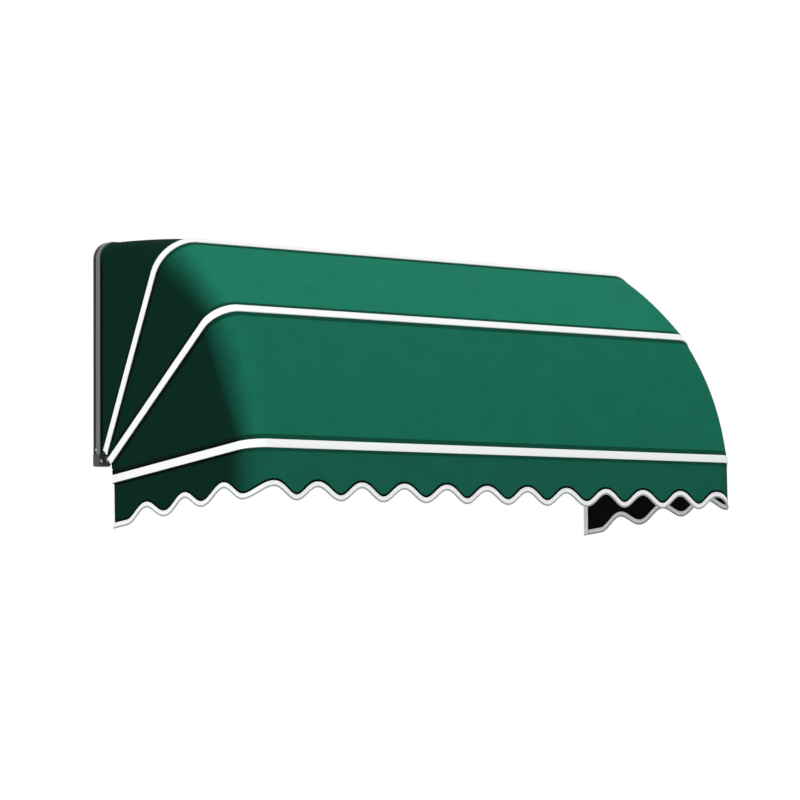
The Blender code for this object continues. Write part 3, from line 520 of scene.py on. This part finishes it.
def finish_mesh(name, mesh, materials, sharp=None):
    """Object from a mesh, with its edges sharp above an angle."""
    for material in materials:
        mesh.materials.append(material)
    mesh.shade_smooth()
    if sharp is not None:
        mesh.set_sharp_from_angle(angle=math.radians(sharp))
    return new_object(name, mesh)


def close_mesh(work, mesh):
    """Turn the normals of a closed body out and put it in its mesh."""
    bmesh.ops.recalc_face_normals(work, faces=work.faces)
    work.to_mesh(mesh)
    work.free()


def bar_from_lines(name, lines, material, sharp, run=None, across=None, hollow=()):
    """Closed body from its long lines, capped at both ends, with a through hollow where one is given.

    Its UV is the cloth's run along the lines, and the way round, which is that of the first ring.
    """
    work = bmesh.new()
    layer = work.loops.layers.uv.new("cloth")
    first = np.array([line[0] for line in lines])
    if across is None:
        across = np.cumsum(np.linalg.norm(np.diff(first, axis=0, prepend=first[-1:]), axis=1))

    def skin(sides):
        made = [[work.verts.new(point) for point in ring] for ring in np.stack(sides, axis=1)]
        count = len(sides)
        for row in range(len(made) - 1):
            for index in range(count):
                after = (index + 1) % count
                corners = ((row, index), (row, after), (row + 1, after), (row + 1, index))
                face = work.faces.new([made[r][i] for r, i in corners])
                if run is not None:
                    for loop, (r, i) in zip(face.loops, corners):
                        loop[layer].uv = (run[r], across[max(i, index)])
        return made

    outer = skin(lines)
    if hollow:
        inner = skin(hollow)
        for end in (0, -1):
            edges = []
            for ring in (outer[end], inner[end]):
                edges += [work.edges.get((ring[i - 1], ring[i])) for i in range(len(ring))]
            bmesh.ops.triangle_fill(work, use_beauty=True, use_dissolve=False, edges=edges)
    else:
        work.faces.new(outer[0])
        work.faces.new(outer[-1])
    mesh = bpy.data.meshes.new(name)
    close_mesh(work, mesh)
    return finish_mesh(name, mesh, [material], sharp)


def cloth_shell(name, middle, normals, down, run, thickness, materials):
    """Thin closed sheet about a grid of points: outer face, inner face and the rim between them."""
    columns, rows = middle.shape[:2]
    count = columns * rows
    points = np.concatenate([
        (middle + normals * thickness / 2).reshape(-1, 3),
        (middle - normals * thickness / 2).reshape(-1, 3),
    ])
    faces = []
    for c in range(columns - 1):
        for r in range(rows - 1):
            a, b = c * rows + r, (c + 1) * rows + r
            faces.append((a, b, b + 1, a + 1))
            faces.append((count + a, count + a + 1, count + b + 1, count + b))
    kinds = [0, 1] * (len(faces) // 2)
    rim = [c * rows for c in range(columns)]
    rim += [(columns - 1) * rows + r for r in range(1, rows)]
    rim += [c * rows + rows - 1 for c in range(columns - 2, -1, -1)]
    rim += [r for r in range(rows - 2, 0, -1)]
    for index, near in enumerate(rim):
        far = rim[(index + 1) % len(rim)]
        faces.append((near, count + near, count + far, far))
        kinds.append(0)
    mesh = bpy.data.meshes.new(name)
    mesh.from_pydata(points.tolist(), [], faces)
    layer = mesh.uv_layers.new(name="cloth")
    uv = np.stack([np.broadcast_to(run[:, None], down.shape), down], axis=2).reshape(-1, 2)
    corner_points = np.empty(len(mesh.loops), np.int32)
    mesh.loops.foreach_get("vertex_index", corner_points)
    layer.data.foreach_set("uv", uv[corner_points % count].ravel())
    mesh.polygons.foreach_set("material_index", kinds)
    mesh.update()
    work = bmesh.new()
    work.from_mesh(mesh)
    close_mesh(work, mesh)
    return finish_mesh(name, mesh, materials, 50.0)


def blend_cloth(piece):
    """Put the piece's placement into its mesh."""
    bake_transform(piece)


def value_along(values, gone, distance):
    return np.array([np.interp(distance, gone, values[:, axis]) for axis in range(3)])


def stitch_piece(name, paths, pitch, material):
    """Stitches along lines of (points, outward) pairs, and the path and share that each point came from."""
    length = pitch * STITCH_SHARE
    points, faces, source = [], [], []
    for path, (line, outward) in enumerate(paths):
        steps = np.linalg.norm(np.diff(line, axis=0), axis=1)
        gone = np.concatenate([[0.0], np.cumsum(steps)])
        for number in range(int((gone[-1] - 2 * STITCH_MARGIN) / pitch)):
            start = STITCH_MARGIN + number * pitch
            spots = [value_along(line, gone, start + length * part) for part in (0.0, 0.3, 0.7, 1.0)]
            lift = unit(value_along(outward, gone, start)) * THREAD_RADIUS
            aside = np.cross(unit(spots[3] - spots[0]), lift)
            base = len(points)
            points.append(spots[0])
            for spot in spots[1:3]:
                points += [spot - aside, spot + lift, spot + aside]
            points.append(spots[3])
            for near, far in ((1, 2), (2, 3), (3, 1)):
                faces.append((base, base + far, base + near))
                faces.append((base + near, base + far, base + far + 3, base + near + 3))
                faces.append((base + 7, base + near + 3, base + far + 3))
            source += [(path, (start + length / 2) / gone[-1])] * 8
    mesh = bpy.data.meshes.new(name)
    mesh.from_pydata([tuple(point) for point in points], [], faces)
    mesh.update()
    return finish_mesh(name, mesh, [material]), source


# Extrusions, with outlines as (inset, across)


def arc_points(inset, across, radius, start, end, steps=4):
    points = []
    for step in range(steps + 1):
        turn = math.radians(start + (end - start) * step / steps)
        points.append((inset + radius * math.cos(turn), across + radius * math.sin(turn)))
    return points


def keder_groove(face, sign, steps=14):
    """Neck and round pocket of one keder groove."""
    half = GROOVE_NECK / 2
    meet = math.asin(half / GROOVE_POCKET)
    points = [(GROOVE_IN - half, face)]
    for step in range(steps + 1):
        turn = meet + (2 * math.pi - 2 * meet) * step / steps
        points.append((
            GROOVE_IN - GROOVE_POCKET * math.sin(turn),
            face - sign * (POCKET_DEPTH - GROOVE_POCKET * math.cos(turn))))
    points.append((GROOVE_IN + half, face))
    return points


def hoop_outline(radius):
    half = HOOP_FACE / 2
    outline = arc_points(radius, -half + radius, radius, 270, 180)
    outline += arc_points(radius, half - radius, radius, 180, 90)
    outline += keder_groove(half, 1)
    outline += arc_points(HOOP_DEPTH - radius, half - radius, radius, 90, 0)
    outline += arc_points(HOOP_DEPTH - radius, -half + radius, radius, 0, -90)
    outline += reversed(keder_groove(-half, -1))
    return outline


def frame_outline():
    """Outline with a shallow rebate beside the wall for the seal."""
    half = FRAME_DEPTH / 2
    outline = [(SEAL_SEAT, -half), (SEAL_SEAT, SEAL_WIDTH - half), (0.0, SEAL_WIDTH - half)]
    outline += arc_points(FRAME_EDGE, half - FRAME_EDGE, FRAME_EDGE, 180, 90)
    outline += keder_groove(half, 1)
    outline += arc_points(FRAME_FACE - FRAME_EDGE, half - FRAME_EDGE, FRAME_EDGE, 90, 0)
    outline += [(FRAME_FACE, -half)]
    return outline


def seal_outline():
    """Lip seal that fills the rebate beside the wall, with a soft round outer face."""
    half = FRAME_DEPTH / 2
    outline = [(SEAL_SEAT, -half), (SEAL_SEAT, SEAL_WIDTH - half)]
    for step in range(1, 8):
        turn = math.pi * step / 8
        outline.append((SEAL_SEAT * (1 - math.sin(turn) * 0.9), SEAL_WIDTH * (0.5 + 0.5 * math.cos(turn)) - half))
    return outline


def hollow_outline(depth, face):
    """Hollow of a bar, from a web behind the grooves to the bar's inner side."""
    low = GROOVE_IN + GROOVE_POCKET + GROOVE_WEB
    high = depth - BAR_WALL
    half = face / 2 - BAR_WALL
    return [(low, -half), (low, half), (high, half), (high, -half)]


def extrusion(name, who, outline, material, hollow=()):
    """Bent bar with the given outline, hollow where a second outline is given."""
    stations = hoop_stations(who, 1, 36, 2)
    lines, inner = (
        [hoop_line(who, stations, inset, who.offset + across) for inset, across in shape]
        for shape in (outline, hollow))
    return bar_from_lines(name, lines, material, 32.0, hollow=inner)


def dress_node(name, material):
    """Give a carried-over piece of the frame its finish."""
    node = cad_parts[name]
    node.data.materials.clear()
    node.data.materials.append(material)


class AWNING_OT_wall_frame(bpy.types.Operator):
    """Build the wall frame's extrusion with its rounded corners and give it its powder coat"""
    bl_idname = "awning.wall_frame"
    bl_label = "Wall frame"

    def execute(self, context):
        coat = powder_coat("anthracite_powder_coat_baked", context.scene.awning_metal.frame_grey, 0.38)
        hollow = hollow_outline(FRAME_FACE, FRAME_DEPTH)
        piece = extrusion("wall_frame_extrusion", MEMBERS[0], frame_outline(), coat, hollow)
        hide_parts("wall_frame")
        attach(piece, "frame")
        # The seal's wide black band is a real seal, and also painted shade on the frame's wall-side edge
        seal = extrusion("wall_seal", MEMBERS[0], seal_outline(), extruded_rubber())
        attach(seal, "frame")
        for side in ("left", "right"):
            dress_node(f"rail_cord_eye_{side}", coat)
        return {"FINISHED"}


class AWNING_OT_hoops(bpy.types.Operator):
    """Build the three bent hoop extrusions with their keder grooves and white powder coat"""
    bl_idname = "awning.hoops"
    bl_label = "Hoops"

    def execute(self, context):
        metal = context.scene.awning_metal
        coat = powder_coat("white_powder_coat_baked", metal.hoop_white, 0.34)
        outline = hoop_outline(metal.edge_radius)
        hollow = hollow_outline(HOOP_DEPTH, HOOP_FACE)
        for hoop, who in zip(HOOP_NAMES, MEMBERS[1:]):
            piece = extrusion(f"{hoop}_extrusion", who, outline, coat, hollow)
            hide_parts(hoop)
            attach(piece, hoop)
        for side in ("left", "right"):
            dress_node(f"front_cord_eye_{side}", coat)
        return {"FINISHED"}


class AWNING_OT_hinges(bpy.types.Operator):
    """Finish the castings, leaves, brackets, pins, rivets and screws"""
    bl_idname = "awning.hinges"
    bl_label = "Hinges and brackets"

    def execute(self, context):
        casting = cast_coat(context.scene.awning_metal.casting_grey)
        zinc = plated_steel()
        stainless = turned_stainless()
        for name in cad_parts:
            if name.endswith("screw") or "rivet" in name or name.startswith("pivot"):
                dress_node(name, stainless)
            elif "leaf" in name or "bracket" in name:
                dress_node(name, zinc)
            elif name.startswith("hinge_casting"):
                dress_node(name, casting)
        return {"FINISHED"}


# Canopy


class PanelSurface:
    """One panel of cloth between two members, as a surface over station and share across."""

    def __init__(self, number):
        self.number = number
        upper, lower = MEMBERS[number], MEMBERS[number + 1]
        tops, bottoms = (hoop_stations(who, 30, 26, 72, END_GAP) for who in (upper, lower))
        self.shares = (upper.share, lower.share)
        self.stowed = [math.radians(who.angle) + who.share * FULL_TURN for who in (upper, lower)]
        edges = (upper.offset + upper.half, lower.offset - lower.half)
        self.faces = (edges[0] + LIP_OUT, edges[1] - LIP_OUT)
        self.lips = (
            hoop_line(upper, tops, GROOVE_IN, self.faces[0]), hoop_line(lower, bottoms, GROOVE_IN, self.faces[1]))
        self.beads = (
            hoop_line(upper, tops, GROOVE_IN, edges[0] - BEAD_SEAT),
            hoop_line(lower, bottoms, GROOVE_IN, edges[1] + BEAD_SEAT))
        middle = math.radians((upper.angle + lower.angle) / 2)
        self.bulge = np.array((0.0, -math.cos(middle), math.sin(middle)))
        reach, _, along, aside, self.run = (np.array(tops) + np.array(bottoms)).T / 2
        self.out = unit(self.bulge * along[:, None] + np.array((1.0, 0.0, 0.0)) * aside[:, None])
        share = np.minimum(1.0, along / SWELL_FULL)
        self.swell = PANEL_SWELL[number] * smooth(share)
        self.length = np.linalg.norm(self.lips[1] - self.lips[0], axis=1)
        self.gather = np.exp(-reach / GATHER_REACH) * (1.0 - share)

    def broad(self, share):
        return np.broadcast_to(np.asarray(share, float), self.run.shape)

    def slack(self, share):
        """Soft unevenness of taut cloth: long swells on the front, small folds where the arms meet."""
        hold = np.sin(np.pi * np.clip(share, 0.0, 1.0))
        phase = self.number * 1.7
        front = sum(
            height * np.sin(self.run * turn + phase * part + share * across + start)
            for height, turn, part, across, start in SLACK_WAVES)
        folds = np.sin(share * 2 * np.pi * 2.5 + np.sign(self.run) * 0.6 + phase)
        return hold * (FRONT_SLACK * front * (1 - self.gather) + ARM_SLACK * folds * self.gather)

    def middle(self, share):
        share = self.broad(share)
        part = share[:, None]
        point = self.lips[0] * (1 - part) + self.lips[1] * part
        point = point + self.bulge * (self.swell * 4 * share * (1 - share))[:, None]
        return point + self.out * self.slack(share)[:, None]

    def normal(self, share):
        share = self.broad(share)
        step = 0.01
        across = self.middle(np.minimum(share + step, 1.0)) - self.middle(np.maximum(share - step, 0.0))
        return unit_normals(np.gradient(self.middle(share), axis=0), across, self.out)

    def turn(self, share):
        """Share of the front hoop's turn that brings the stowed cloth evenly between its two members."""
        share = self.broad(share)
        point = self.middle(share)
        out, up = -point[:, 1] - PIVOT_OUT, point[:, 2] - PIVOT_Z
        plane = self.stowed[0] * (1 - share) + self.stowed[1] * share
        across = self.faces[0] * (1 - share) + self.faces[1] * share
        lean = np.arcsin(np.clip(across / np.hypot(out, up), -1.0, 1.0))
        return np.clip((plane - lean - np.arctan2(up, out)) / FULL_TURN, *self.shares)

    def share_at(self, distance, edge):
        """Share across at a distance from one edge's lip: edge 0 is the upper one, 1 the lower."""
        part = np.minimum(distance / self.length, 0.30)
        return part if edge == 0 else 1.0 - part


def panel_cloth(surface, settings, materials):
    """The panel itself: one continuous curved sheet from groove to groove."""
    rows = 26
    shares = [0.5 - 0.5 * math.cos(math.pi * row / rows) for row in range(rows + 1)]
    tucks = [lip + (bead - lip) * TUCK for lip, bead in zip(surface.lips, surface.beads)]
    grid = np.stack([tucks[0], *[surface.middle(share) for share in shares], tucks[1]], axis=1)
    ends = [0.0, *shares, 1.0]
    normal = np.stack([surface.normal(share) for share in ends], axis=1)
    turn = np.stack([surface.turn(share) for share in ends], axis=1)
    steps = np.linalg.norm(np.diff(grid, axis=1), axis=2)
    down = np.concatenate([np.zeros((len(grid), 1)), np.cumsum(steps, axis=1)], axis=1)
    piece = cloth_shell(
        f"{PANEL_NAMES[surface.number]}_cloth", grid, normal, down, surface.run,
        settings.cloth_thickness, materials)
    blend_cloth(piece)
    return piece, grid, down


def panel_welt(surface, edge, settings, material):
    """Keder and its tape, folded over one edge of the panel, with the keder in the groove."""
    bead, lip = surface.beads[edge], surface.lips[edge]
    away = unit(bead - lip)
    legs = [surface.share_at(settings.welt_width * part, edge) for part in (1.0, 0.66, 0.33, 0.0)]
    lines, turns = [], []

    def lay(lift, order):
        for leg in order:
            lines.append(surface.middle(leg) + surface.normal(leg) * lift)
            turns.append(surface.turn(leg))

    lay(WELT_OUTER, legs)
    face = surface.normal(legs[3])
    for step in range(7):
        turn = math.radians(120 - 40 * step)
        lines.append(bead + away * (BEAD * math.cos(turn)) + face * (BEAD * math.sin(turn)))
        turns.append(turns[3])
    lay(-WELT_OUTER, legs[::-1])
    lay(-WELT_INNER, legs)
    lay(WELT_INNER, legs[::-1])
    name = f"{PANEL_NAMES[surface.number]}_{('upper', 'lower')[edge]}_welt"
    piece = bar_from_lines(name, lines, material, 50.0, surface.run)
    blend_cloth(piece)
    return piece


def panel_stitches(surface, settings, material):
    """A row of stitches along each welt, on both faces of the cloth."""
    paths, turns = [], []
    for edge in (0, 1):
        share = surface.share_at(settings.welt_width * STITCH_IN, edge)
        middle, normal = surface.middle(share), surface.normal(share)
        for side in (1, -1):
            paths.append((middle + normal * side * WELT_OUTER, normal * side))
            turns.append(surface.turn(share))
    name = f"{PANEL_NAMES[surface.number]}_stitches"
    piece, source = stitch_piece(name, paths, settings.stitch_pitch, material)
    blend_cloth(piece)
    return piece


class AWNING_OT_canopy(bpy.types.Operator):
    """Stretch the three curved panels of cloth from the frame over the hoops, with welts and stitches"""
    bl_idname = "awning.canopy"
    bl_label = "Canopy"

    def execute(self, context):
        settings = context.scene.awning_cloth
        # The lower panel's green is a darker copy of the upper one, as painted shade
        greens = (settings.upper_green, settings.upper_green, settings.lower_shaded_green)
        coating = coated_back(settings)
        # The welt tape's dark greens are painted shade: the shade line beside each hoop, darker on the gussets
        tape = woven_tape(
            "woven_welt_tape_shade_green", settings.welt_shade_green, settings.side_welt_shade_green, 0.0016, 0.10, 0.02)
        thread = sewing_thread("sewing_thread_dark_green", "#123A2C")
        for number, node in enumerate(PANEL_NAMES):
            surface = PanelSurface(number)
            name = f"woven_acrylic_canvas_{node.split('_')[0]}"
            canvas = woven_acrylic(name, greens[number], CLOTH_TURNS[number], settings)
            piece, grid, down = panel_cloth(surface, settings, [canvas, coating])
            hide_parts(node)
            trims = [panel_welt(surface, edge, settings, tape) for edge in (0, 1)]
            trims.append(panel_stitches(surface, settings, thread))
        return {"FINISHED"}


# Valance


def hem_drop(away):
    """Drop of the hem's lowest line below the front hoop, at a distance from the middle of the front."""
    front_half = FRONT_LOBES * FRONT_PITCH / 2
    lowest = VALANCE_DROP
    if away <= front_half:
        phase = away / FRONT_PITCH
    else:
        past = (away - front_half) / SIDE_PITCH
        phase = min(0.5 + past, SIDE_LOBES)
        lowest += (SIDE_VALANCE_DROP - VALANCE_DROP) * smooth(min(1.0, past))
    return lowest - SCALLOP_DEPTH * (0.5 - 0.5 * math.cos(2 * math.pi * phase))


class ValanceSurface:
    """The valance as a surface over its stations and the drop below the front hoop."""

    def __init__(self, ripple):
        front = MEMBERS[3]
        stations = hoop_stations(front, 84, 30, 270)
        edge = front.offset + front.half
        self.lip = hoop_line(front, stations, GROOVE_IN, edge)
        self.bead = hoop_line(front, stations, GROOVE_IN, edge - BEAD_SEAT)
        _, _, along, aside, self.run = np.array(stations).T
        self.out = unit(np.stack([aside, -along, np.zeros_like(along)], axis=1))
        self.hem = np.array([hem_drop(abs(run)) for run in self.run])
        self.lean = np.hypot(1.0, np.gradient(self.hem, self.run))
        self.swing = ripple * sum(
            height * np.sin(self.run * 2 * np.pi / length + start) for height, length, start in RIPPLES)

    def point(self, drop, lift=0.0):
        drop = np.broadcast_to(np.asarray(drop, float), self.run.shape)
        share = np.clip(drop / VALANCE_DROP, 0.0, 1.0)
        point = self.lip + self.out * (self.swing * share ** RIPPLE_GROWTH + lift)[:, None]
        point[:, 2] -= drop
        return point

    def above_hem(self, height):
        """Drop at a height above the hem, taken square to its curve."""
        return self.hem - height * self.lean


def valance_cloth(surface, settings, materials):
    """The valance itself, from inside the groove to just above the fold of the hem's braid."""
    rows = 16
    drops = [CLOTH_START + (surface.hem - CLOTH_START - CLOTH_END) * row / rows for row in range(rows + 1)]
    tuck = surface.bead * 0.6 + surface.lip * 0.4
    grid = np.stack([tuck, *[surface.point(drop) for drop in drops]], axis=1)
    down = np.stack([np.zeros_like(surface.hem), *drops], axis=1)
    normal = unit_normals(*np.gradient(grid, axis=(0, 1)), surface.out[:, None, :])
    thickness = settings.cloth_thickness
    return cloth_shell("valance_cloth", grid, normal, down, surface.run, thickness, materials), grid


def hem_braid(surface, high, material):
    """Braid folded under the hem, from just past the edge up to the same height on both faces."""
    inner, outer = 0.0006, 0.0012
    past, fold, half = 0.0006, 0.0004, high / 2
    profile = (
        (high, outer), (half, outer), (0.0, outer), (-past, 0.0), (0.0, -outer), (half, -outer),
        (high, -outer), (high, -inner), (half, -inner), (fold, -inner), (fold, inner), (half, inner),
        (high, inner))
    lines = []
    for height, lift in profile:
        drop = surface.above_hem(height) if height > 0 else surface.hem - height
        lines.append(surface.point(drop, lift))
    return bar_from_lines("valance_hem_braid", lines, material, 50.0, surface.run)


def twin_strips(name, surface, first, last, width, material):
    """Flat strip between two drops on the valance's outer face, and its twin on the inner face."""
    inner, outer = 0.0005, 0.0010
    pieces = []
    for label, side in (("outer", 1), ("inner", -1)):
        lines = [
            surface.point(drop, lift * side)
            for drop, lift in ((first, outer), (last, outer), (last, inner), (first, inner))]
        pieces.append(bar_from_lines(
            f"{name}_{label}", lines, material, 50.0, surface.run, (0.0, width, width, 0.0)))
    return pieces


def hem_piping(surface, radius, material):
    """Round cord sewn in below the braid, all along the scallops."""
    lines = []
    for step in range(8):
        turn = 2 * math.pi * step / 8
        drop = surface.above_hem(-(radius + radius * math.sin(turn)))
        lines.append(surface.point(drop, radius * math.cos(turn)))
    across = np.arange(8) * radius * math.pi / 4
    return bar_from_lines("valance_hem_piping", lines, material, 60.0, surface.run, across)


def end_tape(surface, end, binding, material):
    """Braid folded round the valance's upright edge beside the wall, with its wider leg inside."""
    inner, outer, past, fold = 0.0014, 0.0020, 0.0008, 0.0006
    outside, inside = binding * 0.8, binding * 1.8
    start, below = 0.004, 0.0015
    index = 0 if end == "left" else -1
    out = surface.out[index]
    drops = start + (surface.hem[index] - start + below) * np.arange(15) / 14
    swing = surface.swing[index] * (drops / VALANCE_DROP) ** RIPPLE_GROWTH
    centre = surface.lip[index] + out * swing[:, None]
    centre[:, 2] -= drops
    profile = (
        (outside, outer), (0.0, outer), (-past, 0.0), (0.0, -outer), (inside, -outer),
        (inside, -inner), (fold, -inner), (fold, inner), (outside, inner))
    lines = [centre + np.array((0.0, -inward, 0.0)) + out * lift for inward, lift in profile]
    middle, far = outside, outside + inside
    across = (0.0, middle, middle, middle, far, far, middle, middle, 0.0)
    return bar_from_lines(f"valance_end_tape_{end}", lines, material, 50.0, drops, across)


class AWNING_OT_valance(bpy.types.Operator):
    """Hang the scalloped valance from the front hoop, bind its hem with braid and stitch it"""
    bl_idname = "awning.valance"
    bl_label = "Valance"

    def execute(self, context):
        settings = context.scene.awning_cloth
        height = settings.binding_height
        # The valance's green is a darker copy of the canopy's, as painted shade
        green = woven_acrylic("woven_acrylic_canvas_valance", settings.valance_shaded_green, CLOTH_TURNS[3], settings)
        # The dark green fold tape is painted shade above the braid
        white, grey, dark = (
            woven_tape(name, colour, colour, *weave) for name, colour, *weave in (
                ("woven_braid_white", settings.tape_white, 0.0018, 0.03, 0.15),
                ("woven_piping_grey", settings.piping_grey, 0.0010, 0.05, 0.10),
                ("woven_shade_strip_tape_green", settings.side_welt_shade_green, 0.0016, 0.10, 0.02)))
        thread = sewing_thread("sewing_thread_grey", "#B9BDBB")
        surface = ValanceSurface(settings.ripple)
        cloth, grid = valance_cloth(surface, settings, [green, bpy.data.materials["spread_coating_black_and_shade"]])
        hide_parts("valance")
        binding = hem_braid(surface, height, white)
        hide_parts("valance_binding")
        braids = [binding] + [end_tape(surface, end, height, white) for end in ("left", "right")]
        braids.append(hem_piping(surface, settings.piping_radius, grey))
        # Dark strips above the braid on both faces: painted shade of the braid's edge
        folds = twin_strips(
            "valance_hem_shade_strip", surface, surface.above_hem(height + SHADE_STRIP_HEIGHT), surface.above_hem(height),
            SHADE_STRIP_HEIGHT, dark)
        welt = bpy.data.materials["woven_welt_tape_shade_green"]
        # Dark welt strips below the front hoop: their dark green is painted shade under the bar
        collar = twin_strips("valance_welt", surface, 0.0012, 0.0100, 0.009, welt)
        paths = []
        for side in (1, -1):
            line = surface.point(surface.above_hem(height * 0.80), 0.00125 * side)
            paths.append((line, surface.out * side))
        stitches, _ = stitch_piece("valance_hem_stitches", paths, settings.stitch_pitch, thread)
        trims = braids + folds + collar + [stitches]
        # The valance rides on the front hoop as the awning closes
        for piece in [cloth] + trims:
            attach(piece, "front_hoop")
            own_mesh(piece)
        return {"FINISHED"}


# Studio


def area_lamp(name, direction, distance, size, level):
    """Square lamp that gives a white face turned towards it the stated share of full light."""
    data = bpy.data.lights.new(name, "AREA")
    data.shape = "SQUARE"
    data.size = size
    data.energy = level * math.pi ** 2 * distance ** 2
    lamp = new_object(name, data)
    away = Vector(direction).normalized()
    lamp.location = Vector((0.0, -0.45, -0.40)) + away * distance
    lamp.rotation_mode = "QUATERNION"
    lamp.rotation_quaternion = (-away).to_track_quat("-Z", "Y")


def seen_share(tree):
    """1 for what the camera sees, straight or through gloss or glass, and 0 for what only lights."""
    path = add_node(tree, "ShaderNodeLightPath")
    seen = path.outputs["Is Camera Ray"]
    for ray in ("Is Glossy Ray", "Is Transmission Ray"):
        seen = add_node(tree, "ShaderNodeMath", {0: seen, 1: path.outputs[ray]}, operation="MAXIMUM").outputs[0]
    return seen


def white_world(level):
    """Even light of a set level; the camera, gloss and glass see plain white."""
    world = bpy.data.worlds.new("studio_white")
    bpy.context.scene.world = world
    world.use_nodes = True
    tree = world.node_tree
    tree.nodes.clear()
    plain, white = (
        add_node(tree, "ShaderNodeBackground", {"Color": (1.0, 1.0, 1.0, 1.0), "Strength": strength}).outputs[0]
        for strength in (level, 1.0))
    mix = add_node(tree, "ShaderNodeMixShader", {0: seen_share(tree), 1: plain, 2: white})
    add_node(tree, "ShaderNodeOutputWorld", {"Surface": mix.outputs[0]})


def pale_floor(drop):
    """Round pale floor that keeps the awning's shadow and goes over to plain white outside it."""
    work = bmesh.new()
    bmesh.ops.create_circle(work, cap_ends=True, radius=6.0, segments=96)
    mesh = bpy.data.meshes.new("studio_floor")
    work.to_mesh(mesh)
    work.free()
    floor = new_object("studio_floor", mesh)
    floor.location = (0.0, -0.5, -drop)
    material, tree, shader, place = new_finish("studio_floor_matt_pale", 0.9, specular=0.1)
    shader.inputs["Base Color"].default_value = (*linear("#F1F1F0"), 1.0)
    far = add_node(tree, "ShaderNodeVectorMath", {0: place}, operation="LENGTH").outputs["Value"]
    rim = add_node(
        tree, "ShaderNodeMapRange", {"Value": far, "From Min": 1.6, "From Max": 4.5},
        interpolation_type="SMOOTHSTEP").outputs["Result"]
    share = add_node(tree, "ShaderNodeMath", {0: rim, 1: seen_share(tree)}, operation="MULTIPLY").outputs[0]
    white = add_node(tree, "ShaderNodeEmission", {"Color": (1.0, 1.0, 1.0, 1.0), "Strength": 1.0})
    mix = add_node(
        tree, "ShaderNodeMixShader", {0: share, 1: shader.outputs[0], 2: white.outputs[0]}).outputs[0]
    # From below the floor is not there, so that views from under the awning stay open
    below = add_node(tree, "ShaderNodeNewGeometry").outputs["Backfacing"]
    clear = add_node(tree, "ShaderNodeBsdfTransparent").outputs[0]
    side = add_node(tree, "ShaderNodeMixShader", {0: below, 1: mix, 2: clear})
    fill_inputs(tree.nodes["Material Output"], {"Surface": side.outputs[0]})
    mesh.materials.append(material)


class AWNING_OT_studio(bpy.types.Operator):
    """Set up the pale floor, the soft lamps and the camera at the photograph's angle"""
    bl_idname = "awning.studio"
    bl_label = "Studio"

    def execute(self, context):
        studio = context.scene.awning_studio
        context.scene.view_settings.view_transform = "Standard"
        white_world(studio.sky_level)
        pale_floor(studio.floor_drop)
        area_lamp("key_lamp", (0.15, -0.42, 0.88), 5.0, 2.5, studio.key_level)
        area_lamp("fill_lamp", (-0.97, -0.20, 0.10), 5.5, 3.0, studio.fill_level)
        area_lamp("front_lamp", (-0.30, -0.95, 0.10), 6.0, 3.5, studio.front_level)
        yaw, pitch, roll = studio.camera_yaw, studio.camera_pitch, studio.camera_roll
        right = Vector((math.cos(yaw), -math.sin(yaw), 0.0))
        ahead = Vector((math.sin(yaw) * math.cos(pitch), math.cos(yaw) * math.cos(pitch), math.sin(pitch)))
        up = right.cross(ahead)
        leaned = right * math.cos(roll) + up * math.sin(roll)
        upright = up * math.cos(roll) - right * math.sin(roll)
        data = bpy.data.cameras.new("photo_camera")
        data.lens = studio.lens
        data.sensor_width = 36.0
        data.clip_end = 100.0
        camera = new_object("photo_camera", data)
        turn = Matrix((leaned, upright, -ahead)).transposed().to_4x4()
        camera.matrix_world = Matrix.Translation(Vector(studio.camera_place)) @ turn
        context.scene.camera = camera
        return {"FINISHED"}


class AWNING_PT_panel(bpy.types.Panel):
    bl_label = "Basket Awning"
    bl_idname = "AWNING_PT_panel"
    bl_space_type = "VIEW_3D"
    bl_region_type = "UI"
    bl_category = "Awning"

    def draw(self, context):
        scene = context.scene
        groups = (
            (scene.awning_metal, (AWNING_OT_wall_frame, AWNING_OT_hoops, AWNING_OT_hinges)),
            (scene.awning_cloth, (AWNING_OT_canopy, AWNING_OT_valance)),
            (scene.awning_studio, (AWNING_OT_studio,)),
        )
        for settings, operators in groups:
            box = self.layout.box()
            for name in settings.__annotations__:
                box.prop(settings, name)
            for operator in operators:
                box.operator(operator.bl_idname)


CLASSES = (
    AwningClothSettings, AwningMetalSettings, AwningStudioSettings,
    AWNING_OT_wall_frame, AWNING_OT_hoops, AWNING_OT_hinges,
    AWNING_OT_canopy, AWNING_OT_valance, AWNING_OT_studio, AWNING_PT_panel,
)


def register():
    for cls in CLASSES:
        bpy.utils.register_class(cls)
    bpy.types.Scene.awning_cloth = PointerProperty(type=AwningClothSettings)
    bpy.types.Scene.awning_metal = PointerProperty(type=AwningMetalSettings)
    bpy.types.Scene.awning_studio = PointerProperty(type=AwningStudioSettings)


def unregister():
    del bpy.types.Scene.awning_studio
    del bpy.types.Scene.awning_metal
    del bpy.types.Scene.awning_cloth
    for cls in reversed(CLASSES):
        bpy.utils.unregister_class(cls)


def main():
    register()
    bpy.ops.awning.studio()
    bpy.ops.awning.wall_frame()
    bpy.ops.awning.hoops()
    bpy.ops.awning.hinges()
    bpy.ops.awning.canopy()
    bpy.ops.awning.valance()


if __name__ == "__main__":
    main()
